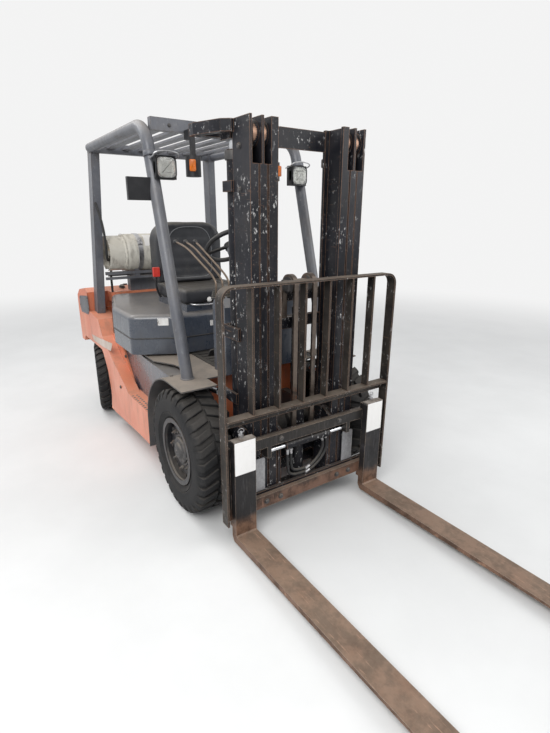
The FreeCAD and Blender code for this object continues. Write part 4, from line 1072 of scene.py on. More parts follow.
@dataclass
class Wheel:
    """One wheel: a treaded tyre, the disc, its nuts, hub cap, lock ring and valve."""

    axle: str
    side: Side
    pin: Vector
    reach: float
    turn: float
    radius: float
    width: float
    seat: float
    hub: float
    disc: float
    boss: float
    nuts: int
    lugs: int
    groove: float = 0.016

    @property
    def body(self) -> str:
        """Return the body that the wheel turns with."""
        return f"wheel_{self.axle}_{self.side.word}"

    def stand(self) -> Matrix:
        """Return the wheel's middle, with local Z out along its axis."""
        sign = self.side.value
        out = Vector((-sign * math.sin(self.turn), sign * math.cos(self.turn), 0.0))
        return mounted(self.pin + self.reach * out, out)

    def carcass(self) -> Shape:
        """Return the tyre below its tread, with ribs on its walls."""
        crown = self.radius - self.groove
        wall = (
            (self.seat, 0.026), (self.seat + 0.014, 0.025), (self.seat + 0.022, 0.016), (self.seat + 0.030, 0.015),
            (self.seat + 0.038, 0.008), (self.seat + 0.046, 0.0045), (self.seat + 0.049, 0.0075),
            (self.seat + 0.054, 0.0035), (self.radius - 0.066, 0.0030), (self.radius - 0.048, 0.0055),
            (crown - 0.013, 0.013), (crown, 0.032),
        )
        half = self.width / 2
        line = [(radius, depth - half) for radius, depth in wall]
        line += [(radius, half - depth) for radius, depth in reversed(wall)]
        return Shape.lathe("carcass", line, ORIGIN, 72, "loop")

    def lug(self) -> Shape:
        """Return one slanted lug of the outer row."""
        half = self.width / 2
        crown = self.radius - self.groove
        middle = 0.006
        section = (
            (crown - 0.004, middle), (self.radius, middle), (self.radius, half - 0.024),
            (self.radius - 0.013, half - 0.012),
            (self.radius - 0.046, half - 0.0035), (self.radius - 0.052, half - 0.012), (crown - 0.006, half - 0.036),
        )
        pitch = math.tau / self.lugs
        lug = Shape.outline("lug", [(radius, 0.0, height) for radius, height in section])
        lug.work("FACE", everything, spin(3, 0.56 * pitch), weld, fill, outwards)
        lug.bevel(lambda point, _run: math.hypot(point.x, point.y) > self.radius - 0.008, 0.003, 1)
        lug.work("VERT", lambda point, _way: point.z < middle + 0.006, lambda: bpy.ops.transform.rotate(
            value=-0.42 * pitch, orient_axis="Z", center_override=STILL))
        return lug

    def tyre(self) -> Thing:
        """Build the tyre with both rows of lugs."""
        pitch = math.tau / self.lugs
        row = self.lug()
        row.work("FACE", everything, spin(self.lugs - 1, math.tau - pitch, dupli=True))
        inner = link("inner row", row.thing.data.copy())
        flipped = Matrix.Rotation(pitch / 2, 4, "Z") @ Matrix.Diagonal((1.0, 1.0, -1.0, 1.0))
        tyre = self.carcass().join(row, Shape(inner).place(flipped)).place(self.stand())
        tyre.thing.name = f"tread_{self.axle}_{self.side.word}"
        return tyre.done(self.body, Finish.TYRE, f"{self.axle}_tyre_{self.side.word}")

    def fittings(self) -> Thing:
        """Build the nuts, the hub cap with its screws, the lock ring and the valve."""
        spots = [Matrix.Translation((x, y, self.disc)) for x, y in circle(self.nuts, 0.62 * self.seat)]
        nuts = hex_bolt(0.0125).copies("nuts", spots)
        studs = Shape.disc("stud", 0.0065, 0.022, 10).copies("studs", spots)
        rim, top = 0.43 * self.seat, self.hub + self.boss
        screws = hex_bolt(0.006).copies("screws", [
            Matrix.Translation((x, y, top - 0.022)) for x, y in circle(self.nuts, 0.335 * self.seat, 0.3)])
        cap = Shape.lathe("cap", (
            (0.0, top), (0.10 * rim, top), (0.13 * rim, top - 0.003), (0.42 * rim, top - 0.004),
            (0.54 * rim, top - 0.009),
            (0.58 * rim, top - 0.014), (0.62 * rim, top - 0.018), (0.92 * rim, top - 0.020), (rim, top - 0.026),
            (rim, self.hub - 0.016), (0.0, self.hub - 0.016)), ORIGIN, 40)
        face = self.width / 2 - 0.014
        edge = self.seat - 0.012
        lock = Shape.lathe("lock ring", (
            (edge, face - 0.020), (edge + 0.007, face - 0.018), (edge + 0.009, face - 0.010),
            (edge + 0.006, face - 0.004), (edge - 0.003, face - 0.006), (edge - 0.004, face - 0.016)), ORIGIN, 56,
            "loop")
        root = self.seat - 0.024
        valve = Shape.rod("valve", [
            Vector((root, 0.0, self.disc - 0.012)), Vector((root - 0.002, 0.0, self.disc + 0.012)),
            Vector((root - 0.010, 0.0, self.disc + 0.036))], 0.004)
        nuts.join(studs, screws, cap, lock, valve).place(self.stand())
        nuts.thing.name = f"fittings_{self.axle}_{self.side.word}"
        return nuts.done(self.body, Finish.IRON)

    def plate(self) -> Thing:
        """Build the pressed wheel disc that the nuts hold, with its raised inner ring and hand holes' rims."""
        edge, crown = self.seat - 0.0145, self.disc
        disc = Shape.lathe("disc", (
            (edge, crown - 0.032), (edge, crown - 0.022), (edge - 0.010, crown - 0.006), (edge - 0.020, crown - 0.0015),
            (0.74 * self.seat, crown), (0.52 * self.seat, crown), (0.50 * self.seat, crown + 0.004),
            (0.44 * self.seat, crown + 0.004), (0.44 * self.seat, crown - 0.010), (0.74 * self.seat, crown - 0.010),
            (edge - 0.024, crown - 0.014), (edge - 0.010, crown - 0.032)), ORIGIN, 56, "loop")
        reach = 0.82 * self.seat - 0.004
        grommet = Shape.lathe("grommet", (
            (0.0, 0.0), (0.0095, 0.0), (0.0110, 0.0022), (0.0130, 0.0022), (0.0145, 0.0), (0.0145, -0.003),
            (0.0, -0.003)),
            ORIGIN, 16)
        disc.join(grommet.copies("grommets", [
            Matrix.Translation((x, y, crown - 0.001)) for x, y in circle(self.nuts, reach, 0.2)]))
        disc.place(self.stand()).thing.name = f"disc_{self.axle}_{self.side.word}"
        return disc.done(self.body, Finish.RIM)

    @classmethod
    def every(cls) -> list["Wheel"]:
        """Return the four wheels."""
        wheels = []
        for side in Side:
            wheels.append(cls(
                "front", side, pin=at(0.0, 0.510 * side.value, 0.353), reach=0.0, turn=0.0, radius=0.353, width=0.220,
                seat=0.180, hub=0.052, disc=0.058, boss=0.042, nuts=8, lugs=30))
            wheels.append(cls(
                "rear", side, pin=at(-1.7, 0.345 * side.value, 0.294), reach=0.175, turn=math.radians(-12.0),
                radius=0.294, width=0.175, seat=0.127, hub=0.038, disc=0.040, boss=0.030, nuts=6, lugs=29,
                groove=0.014))
        return wheels

    def build(self) -> None:
        """Build the whole wheel."""
        self.tyre()
        self.plate()
        self.fittings()


def plate(name: str, node: str, start: Vector, aim: Point, size: tuple[float, float]) -> Shape | None:
    """Model a thin blank plate with a raised rim and four rivets on a CAD surface.

    Args:
        name: the piece's name.
        node: the CAD node that carries it.
        start: a point in front of the surface.
        aim: the way from there to it.
        size: the plate's width and height.

    Returns:
        The plate, or nothing where there is no surface.
    """
    found = surface(node, start, aim)
    if not found:
        return None
    wide, high = size[0] / 2, size[1] / 2
    sheet = Shape.slab(name, wide, high, 0.0011, 0.12 * high)
    sheet.inset(facing(UP), 0.05 * high, -0.0003)
    head = Shape.lathe("rivet", ((0.0, 1.2 * RIVET), (0.6 * RIVET, RIVET), (RIVET, 0.0012), (0.0, 0.0008)), ORIGIN, 10)
    corners = [(x * (wide - 2.6 * RIVET), y * (high - 2.6 * RIVET)) for x in (-1, 1) for y in (-1, 1)]
    sheet.join(head.copies("rivets", [Matrix.Translation((x, y, 0.0)) for x, y in corners]))
    return sheet.place(mounted(*found))


@dataclass
class Bodywork:
    """Small things on the frame, the counterweight, the hood, the fenders and the floor."""

    seam_height: float = 0.845
    side_face: float = -0.6003
    vents: int = 7

    def hood_seam(self) -> None:
        """Lay the dark seal in the gap between the hood's upper and lower panel."""
        points = []
        for step in range(121):
            turn = math.radians(-125.0 + 250.0 * step / 120)
            way = Vector((math.cos(turn), math.sin(turn), 0.0))
            found = surface("hood", at(-1.1, 0.0, self.seam_height) + 2.0 * way, tuple(-way))
            if found:
                points.append(found[0])
        Shape.rod("hood_seal", points, 0.0045, smooth=False).done("hood", Finish.PLASTIC)

    def hood_latch(self) -> None:
        """Build the pull latch at the front edge of the hood."""
        found = surface("hood", at(0.0, 0.03, 0.79), BACK)
        if not found:
            return
        base = Shape.slab("hood_latch", 0.045, 0.020, 0.004, 0.010)
        base.inset(facing(UP), 0.005, -0.0015)
        handle = Shape.rod("pull", [Vector((-0.030, 0.0, 0.003)), Vector((-0.030, 0.0, 0.019)),
            Vector((0.0, 0.0, 0.022)),
                                    Vector((0.030, 0.0, 0.019)), Vector((0.030, 0.0, 0.003))], 0.0045)
        base.join(handle).place(mounted(*found)).done("hood", Finish.STEEL)

    def labels(self) -> None:
        """Fix the blank plates of the hood and the cowl."""
        table = (
            ("hood_label_side", "hood", at(0.0, -0.40, 0.955), BACK, (0.070, 0.048), "hood"),
            ("hood_label_front", "hood", at(0.0, -0.063, 0.92), BACK, (0.052, 0.036), "hood"),
            ("cowl_label", "cowl", at(-1.0, 0.12, 1.05), FRONT, (0.110, 0.070), "chassis"),
            ("frame_label", "frame", at(-0.72, -1.5, 0.56), LEFT, (0.120, 0.055), "chassis"),
        )
        for name, node, start, aim, size, body in table:
            sheet = plate(name, node, start, aim, size)
            if sheet:
                sheet.done(body, Finish.BLANK)

    def stripe(self) -> None:
        """Stick the pale blank stripe on each side, above the rear arch."""
        corners = ((-1.760, 0.664), (-1.560, 0.678), (-1.130, 0.722), (-1.195, 0.650), (-1.400, 0.632), (-1.690, 0.622))
        sheet = Shape.outline("side_stripe_right", [at(x, self.side_face, z) for x, z in corners])
        sheet.extrude(everything, (0.0, -0.0007, 0.0))
        sheet.bevel(along(1), 0.008, 3)
        sheet.both("chassis", Finish.STRIPE)

    def louvre(self) -> None:
        """Build the pressed grey vent panel on each side of the counterweight."""
        corners = ((-2.060, 0.868), (-2.045, 0.948), (-1.750, 0.985), (-1.738, 0.872), (-1.775, 0.826), (-2.025, 0.812))
        panel = Shape.outline("vent_right", [at(x, self.side_face, z) for x, z in corners])
        panel.extrude(everything, (0.0, -0.0030, 0.0))
        panel.bevel(along(1), 0.012, 3)
        panel.inset(facing(RIGHT), 0.008, -0.0014)
        slat = Shape.block("slat", (-0.115, 0.0, -0.0055), (0.115, 0.0045, 0.0055))
        slat.shift("EDGE", lambda middle, run: abs(run.x) > 0.9 and middle.y > 0.004 and middle.z > 0,
            (0.0, -0.0040, 0.0))
        slat.bevel(lambda middle, run: abs(run.x) > 0.9 and middle.y > 0.003, 0.0012, 2)
        places = []
        for index in range(self.vents):
            height = 0.842 + 0.0165 * index
            places.append(Matrix.Translation(at(-1.895 + 0.002 * index, -0.6018, height)) @ Matrix.Rotation(math.pi,
                4, "Z"))
        panel.join(slat.copies("slats", places))
        screw = hex_bolt(0.005)
        spots = ((-2.035, 0.872), (-2.020, 0.940), (-1.765, 0.965), (-1.752, 0.880))
        panel.join(screw.copies("screws", [
            mounted(at(x, -0.6030, z), Vector(RIGHT)) for x, z in spots]))
        panel.both("chassis", Finish.GREY)

    def treads(self) -> None:
        """Stud the two step plates with raised rings, and lay the ribbed mat on the floor."""
        button = Shape.lathe("button", (
            (0.0, 0.0004), (0.0035, 0.0004), (0.0045, 0.0022), (0.0068, 0.0022), (0.0082, 0.0)), ORIGIN, 14)
        places = []
        for side in Side:
            for column in range(9):
                for row in range(2):
                    spot = at(-0.78 + 0.035 * column, (0.560 + 0.028 * row) * side.value, 0.62)
                    found = surface("frame", spot, DOWN)
                    if found and found[0].z < 0.45:
                        places.append(Matrix.Translation(found[0]))
        if places:
            button.copies("step_studs", places).done("chassis", Finish.GREY)
        mat = Shape.block("floor_mat", at(-0.705, -0.235, 0.7232), at(-0.235, 0.235, 0.7275))
        mat.subdivide(facing(UP), 15)
        pitch = 0.470 / 16
        start = -0.705 + AXLE_X
        mat.extrude(lambda middle, normal: normal.z > 0.9 and int((middle.x - start) / pitch) % 2 == 0
                    and abs(middle.y) < 0.20, (0.0, 0.0, 0.0032))
        mat.done("chassis", Finish.PLASTIC)

    def pedals(self) -> None:
        """Build the three pedals on their arms."""
        pads = Shape.slab("pad", 0.032, 0.045, 0.008, 0.010)
        pads.subdivide(facing(UP), 5)
        pads.inset(lambda middle, normal: normal.z > 0.9 and abs(middle.x) < 0.03 and abs(middle.y) < 0.042, 0.002, 0.0)
        table = ((-0.27, 0.19), (-0.25, -0.09), (-0.27, -0.20))
        places = [Matrix.Translation(at(x, y, 0.800)) @ Matrix.Rotation(math.radians(-52.0), 4, "Y") for x, y in table]
        rows = [Shape.rod("arm", [at(x + 0.006, y, 0.795), at(x + 0.045, y, 0.790), at(x + 0.06, y, 0.728)], 0.007)
                for x, y in table]
        pads.copies("pedals", places).join(*rows).done("chassis", Finish.PLASTIC)

    def weld_rings(self) -> None:
        """Lay the weld bead round the foot of each front guard tube."""
        bead = Shape.lathe("bead", [(0.0355 + x, y) for x, y in circle(8, 0.0045)], ORIGIN, 40, "loop")
        places = [Matrix.Translation(at(-0.051, TUBE_Y * side.value, 0.7515)) for side in Side]
        bead.copies("tube_weld", places).done("chassis", Finish.GREY)

    def build(self) -> None:
        """Build every small thing of the body."""
        self.hood_seam()
        self.hood_latch()
        self.labels()
        self.stripe()
        self.louvre()
        self.treads()
        self.pedals()
        self.weld_rings()


@dataclass
class BoltRow:
    """A row of like bolts on one CAD node, found by lines that meet its surface."""

    name: str
    node: str
    body: str
    size: float
    aim: Point
    spots: Sequence[Point]

    def build(self) -> None:
        """Set a bolt where each line meets the node."""
        places = []
        for x, y, z in self.spots:
            for sign in ((1, -1) if y else (1,)):
                aim = (self.aim[0], self.aim[1] * sign, self.aim[2])
                found = surface(self.node, at(x, y * sign, z), aim)
                if found:
                    places.append(mounted(*found, turn=0.4 * len(places)))
        if places:
            hex_bolt(self.size).copies(self.name, places).done(self.body, Finish.IRON)

    @classmethod
    def every(cls) -> list["BoltRow"]:
        """Return all the rows of the truck."""
        return [
            cls("bolts_frame", "frame", "chassis", 0.010, LEFT, [
                (-1.02, -0.9, 0.42), (-1.10, -0.9, 0.62), (-0.98, -0.9, 0.74), (-1.22, -0.9, 0.70)]),
            cls("bolts_counterweight", "counterweight", "chassis", 0.020, DOWN,
            [(-1.80, -0.30, 1.3), (-1.98, -0.22, 1.3)]),
            cls("bolts_fender", "fenders", "chassis", 0.008, LEFT,
            [(-0.33, -0.9, 0.46), (-0.20, -0.9, 0.62), (0.07, -0.9, 0.66)]),
            cls("bolts_fender_top", "fenders", "chassis", 0.008, DOWN, [(-0.16, -0.47, 1.0), (-0.16, -0.54, 1.0)]),
            cls("bolts_hood", "hood", "hood", 0.007, DOWN,
            [(-0.66, -0.50, 1.2), (-1.30, -0.52, 1.2), (-1.52, -0.50, 1.2)]),
            cls("bolts_roof_front", "guard_roof", "chassis", 0.008, BACK, [(0.2, -0.20, 2.075), (0.2, -0.36, 2.075)]),
            cls("bolts_mast", "mast_outer", "mast", 0.011, BACK, [
                (0.9, -0.418, 0.36), (0.9, -0.418, 0.98), (0.9, -0.418, 1.45), (0.9, -0.418, 1.72)]),
            cls("bolts_mast_side", "mast_outer", "mast", 0.011, LEFT,
            [(0.30, -0.9, 1.90), (0.30, -0.9, 1.72), (0.30, -0.9, 0.30)]),
            cls("bolts_mast_top", "mast_middle", "mast_middle", 0.010, DOWN, [(0.18, -0.30, 2.3), (0.33, -0.30, 2.3)]),
            cls("bolts_carriage", "carriage", "carriage", 0.010, BACK, [(0.9, -0.455, 0.300), (0.9, -0.455, 0.390)]),
            cls("bolts_shift", "shift_frame", "side_shift", 0.012, BACK,
            [(0.9, -0.20, 0.510), (0.9, -0.20, 0.165), (0.9, -0.29, 0.165)]),
            cls("bolts_backrest", "backrest", "side_shift", 0.009, BACK, [
                (0.9, -0.505, 0.22), (0.9, -0.505, 0.45), (0.9, -0.505, 0.66), (0.9, -0.505, 1.20)]),
        ]


@dataclass
class GuardFittings:
    """Headlamps, amber lamps, the mirror's glass and the joints of the overhead guard."""

    lamp_y: float = 0.440
    lamp_z: float = 1.851
    lamp_half: float = 0.058
    lamp_face: float = -0.2950

    def headlamp(self) -> None:
        """Build the bezel, the bowl and the ribbed glass of each headlamp, with its wire guard."""
        def spot(ahead: float, across: float, rise: float) -> Vector:
            """Return a point given from the middle of the right lamp's face."""
            return at(self.lamp_face + ahead, -self.lamp_y + across, self.lamp_z + rise)

        half = self.lamp_half
        bezel = Shape.block("lamp_bezel_right", spot(-0.026, -half, -half), spot(0.010, half, half))
        lip = spot(0.010, 0.0, 0.0).x - 0.0005
        bezel.bevel(along(0), 0.030, 6)
        bezel.inset(facing(FRONT), 0.006).inset(facing(FRONT, 0.99), 0.001, -0.006)
        bezel.bevel(lambda middle, run: middle.x > lip and abs(run.x) < 0.1, 0.0022, 2)
        bezel.both("chassis", Finish.PLASTIC)
        bowl = Shape.lathe("lamp_bowl_right", (
            (0.0, 0.0046), (0.008, 0.0046), (0.010, 0.0060), (0.024, 0.0062), (0.040, 0.0072), (0.0485, 0.0084),
            (0.0485, 0.0042), (0.0, 0.0042)), mounted(spot(-0.0005, 0.0, 0.0), Vector(FRONT)), 40)
        bowl.both("chassis", Finish.BOWL)
        edge = half - 0.008
        glass = Shape.block("lamp_glass_right", spot(0.0088, -edge, -edge), spot(0.0104, edge, edge))
        glass.bevel(along(0), 0.024, 5)
        glass.inset(facing(FRONT), 0.012, 0.0022).inset(facing(FRONT, 0.99), 0.014, 0.0012)
        glass.both("chassis", Finish.CLEAR)
        reach = half + 0.010
        arm = ((-0.05, 0.045), (0.005, 0.050), (0.028, 0.070))
        route = [spot(ahead, reach, rise) for ahead, rise in arm] + [spot(0.030, 0.0, 0.080)]
        route += [spot(ahead, -reach, rise) for ahead, rise in reversed(arm)]
        Shape.rod("lamp_hoop_right", route, 0.0038).both("chassis", Finish.STEEL)

    def amber(self) -> None:
        """Build the amber glass on each signal lamp."""
        found = surface("signal_lamps", at(0.4, -0.285, 1.870), BACK)
        if not found:
            return
        glass = Shape.slab("amber_right", 0.017, 0.030, 0.009, 0.007)
        glass.inset(facing(UP), 0.003, 0.002).inset(facing(UP, 0.99), 0.006, 0.001)
        glass.place(mounted(*found))
        glass.both("chassis", Finish.AMBER)

    def mirror(self) -> None:
        """Fit the rim and the glass of the mirror, which looks back to the driver."""
        found = surface("mirror_right", at(-0.6, -0.580, 1.743), FRONT)
        if not found:
            return
        glass = Shape.slab("mirror_glass", 0.052, 0.047, 0.003, 0.014, 4)
        glass.inset(facing(UP), 0.004, -0.0012)
        glass.place(mounted(*found)).done("chassis", Finish.CHROME)

    def sleeves(self) -> None:
        """Slip the joint ring over each front tube below its bend."""
        ring = Shape.lathe("ring", (
            (0.0325, -0.012), (0.0365, -0.012), (0.0378, -0.009), (0.0378, 0.009), (0.0365, 0.012), (0.0325, 0.012)),
            ORIGIN, 36, "loop")
        foot, bend = Vector((-0.051, 0.0, 0.75)), Vector((-0.430, 0.0, 2.11))
        run = (bend - foot).normalized()
        spot = foot + (bend - foot) * 0.86
        places = [mounted(at(spot.x, TUBE_Y * side.value, spot.z), run) for side in Side]
        ring.copies("tube_sleeves", places).done("chassis", Finish.GREY)

    def build(self) -> None:
        """Build every fitting of the guard."""
        self.headlamp()
        self.amber()
        self.mirror()
        self.sleeves()


@dataclass
class Seat:
    """The driver's seat: padded cushion and back, piping, buckle and knob."""

    cushion_low: Vector
    cushion_high: Vector
    back_low: Vector
    back_high: Vector
    bolster: float = 0.026

    @classmethod
    def on_hood(cls) -> "Seat":
        """Take the seat's boxes from the CAD nodes."""
        cushion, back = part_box("seat_cushion"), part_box("seat_back")
        return cls(Vector(cushion[0]), Vector(cushion[1]), Vector(back[0]), Vector(back[1]))

    def pad(self, name: str, low: Vector, high: Vector, way: int, node: str) -> Shape:
        """Shape one padded half of the seat.

        Args:
            name: the piece's name.
            low: one corner of its box.
            high: the other corner.
            way: the axis, 0 or 2, that its sitting face looks along.
            node: the CAD node that it replaces.

        Returns:
            The pad, with a hollow middle between two bolsters and stitched channels.
        """
        shape = Shape.block(name, low, high)
        face = FRONT if way == 0 else UP
        if way == 0:
            shape.bevel(lambda point, run: abs(run.x) > 0.9 and point.z > high.z - 0.01, 0.135, 8)
        shape.bevel(everything, 0.028, 3)
        along = 2 if way == 0 else 0
        middle = (low + high) / 2
        span = (high[along] - low[along]) / 2
        half = (high.y - low.y) / 2
        shape.modify("REMESH", mode="VOXEL", voxel_size=0.009)
        top = high[way]

        def panel(point: Vector, normal: Vector) -> bool:
            """Pass the middle of the sitting face."""
            return (point[way] > top - 0.02 and normal.dot(Vector(face)) > 0.6 and abs(point.y - middle.y) < 0.66 * half
                    and abs(point[along] - middle[along]) < 0.84 * span)

        sink = [-0.55 * self.bolster * part for part in face]
        shape.shift("VERT", panel, sink)
        for channel in (-0.5, -0.17, 0.17, 0.5):
            shape.shift("VERT", lambda point, normal: panel(point, normal) and abs(
                point[along] - middle[along] - channel * span) < 0.006, [-0.007 * part for part in face])
        cloud = bpy.data.textures.new(name + " creases", "CLOUDS")
        cloud.noise_scale = 0.11
        shape.modify("SMOOTH", factor=0.8, iterations=9)
        shape.modify("DISPLACE", texture=cloud, strength=0.006, mid_level=0.9)
        shape.modify("DECIMATE", ratio=0.6)
        shape.done("hood", Finish.VINYL, node, angle=60.0)
        return shape

    def piping(self, pad: Shape, name: str, way: int) -> None:
        """Lay a thin cord round the middle panel of a pad, on its own surface."""
        low, high = (self.back_low, self.back_high) if way == 0 else (self.cushion_low, self.cushion_high)
        along = 2 if way == 0 else 0
        middle = (low + high) / 2
        half, span = 0.66 * (high.y - low.y) / 2, 0.84 * (high[along] - low[along]) / 2
        aim = Vector(BACK) if way == 0 else Vector(DOWN)
        points = []
        for step in range(72):
            turn = math.tau * step / 72
            wide, long = math.cos(turn), math.sin(turn)
            power = 3.2 if way == 0 and long > 0 else 6.0
            grow = (abs(wide) ** power + abs(long) ** power) ** (-1 / power)
            start = Vector(middle)
            start.y += half * wide * grow
            start[along] += span * long * grow
            start[way] = high[way] + 0.1
            hit, spot, _normal, _face = pad.thing.ray_cast(start, aim)
            if hit:
                points.append(spot)
        if len(points) > 12:
            Shape.rod(name, points, 0.0028, smooth=False, loop=True).done("hood", Finish.PIPING)

    def details(self) -> None:
        """Build the belt buckle, the slide bar and the adjusting knob."""
        stalk = Shape.rod("belt_stalk", [at(-1.03, -0.245, 1.045), at(-1.03, -0.285, 1.10), at(-1.00, -0.279, 1.20)],
            0.0075)
        stalk.done("hood", Finish.PLASTIC)
        buckle = Shape.block("belt_buckle", at(-1.013, -0.303, 1.195), at(-0.987, -0.255, 1.262))
        buckle.bevel(everything, 0.005, 3)
        buckle.inset(facing(FRONT), 0.006, -0.002)
        buckle.done("hood", Finish.RED)
        knob = Shape.lathe("seat_knob", (
            (0.0, 0.030), (0.010, 0.030), (0.015, 0.026), (0.017, 0.018), (0.013, 0.010), (0.007, 0.004), (0.007, 0.0),
            (0.0, 0.0)), mounted(at(-0.589, -0.082, 1.078), Vector(FRONT)), 24)
        knob.done("hood", Finish.BLANK)
        bar = Shape.rod("seat_slide", [at(-0.62, -0.20, 1.052), at(-0.575, -0.19, 1.046), at(-0.572, 0.0, 1.044),
                                       at(-0.575, 0.19, 1.046), at(-0.62, 0.20, 1.052)], 0.006)
        bar.done("hood", Finish.STEEL)

    def build(self) -> None:
        """Build the whole seat."""
        cushion = self.pad("seat_cushion_soft", self.cushion_low, self.cushion_high, 2, "seat_cushion")
        back = self.pad("seat_back_soft", self.back_low, self.back_high, 0, "seat_back")
        self.piping(cushion, "cushion_piping", 2)
        self.piping(back, "back_piping", 0)
        self.details()


@dataclass
class Controls:
    """Thin levers with knobs and gaiters, and the spinner of the steering wheel."""

    lever_radius: float = 0.0058
    wheel_middle: Vector = Vector((-0.420 + AXLE_X, 0.0, 1.430))
    wheel_tilt: float = math.radians(40.0)

    def levers(self) -> None:
        """Build the three bent levers, each with its knob and its rubber gaiter."""
        table = ((-0.205, -0.215, -0.455), (-0.245, -0.258, -0.500), (-0.285, -0.304, -0.545))
        rods, knobs, gaiters = [], [], []
        for foot_y, top_y, top_x in table:
            route = [at(-0.082, foot_y, 1.170), at(-0.060, foot_y, 1.225), at(-0.075, foot_y, 1.285),
                     at(-0.270, (foot_y + top_y) / 2, 1.372), at(-0.400, top_y, 1.437), at(top_x, top_y, 1.455)]
            rods.append(Shape.rod("lever", route, self.lever_radius))
            run = (route[-1] - route[-2]).normalized()
            knobs.append(Shape.lathe("knob", (
                (0.0, 0.024), (0.007, 0.023), (0.012, 0.018), (0.0142, 0.010), (0.0125, 0.001), (0.008, -0.007),
                (0.0065, -0.014), (0.0, -0.014)), mounted(route[-1], run), 20))
            gaiters.append(Shape.lathe("gaiter", (
                (0.0, 0.050), (0.009, 0.050), (0.010, 0.044), (0.014, 0.041), (0.0115, 0.036), (0.017, 0.031),
                (0.0135, 0.026), (0.020, 0.020), (0.016, 0.014), (0.0225, 0.008), (0.0225, 0.0), (0.0, 0.0)),
                Matrix.Translation(at(-0.084, foot_y, 1.170)), 20))
        rods[0].merge("lever_rods", *rods[1:]).done("chassis", Finish.BROWN, "levers")
        knobs[0].merge("lever_knobs", *knobs[1:]).done("chassis", Finish.PLASTIC)
        gaiters[0].merge("lever_gaiters", *gaiters[1:]).done("chassis", Finish.HOSE)

    def spinner(self) -> None:
        """Build the turning knob on the wheel's rim and the cap on its hub."""
        ahead = Vector((math.cos(self.wheel_tilt), 0.0, math.sin(self.wheel_tilt)))
        normal = Vector((-math.sin(self.wheel_tilt), 0.0, math.cos(self.wheel_tilt)))
        spot = self.wheel_middle - 0.076 * ahead + Vector((0.0, 0.131, 0.0)) + 0.010 * normal
        knob = Shape.lathe("wheel_spinner", (
            (0.0, 0.058), (0.012, 0.057), (0.021, 0.050), (0.024, 0.040), (0.021, 0.028), (0.011, 0.020),
            (0.009, 0.004),
            (0.016, 0.0), (0.0, 0.0)), mounted(spot, normal), 28)
        knob.done("steering_wheel", Finish.PLASTIC)
        cap = Shape.lathe("wheel_cap", (
            (0.0, 0.0185), (0.018, 0.0175), (0.026, 0.015), (0.0275, 0.010), (0.0, 0.010)),
            mounted(self.wheel_middle, normal), 32)
        cap.done("steering_wheel", Finish.RIM)

    def build(self) -> None:
        """Build the levers and the wheel's small things."""
        self.levers()
        self.spinner()


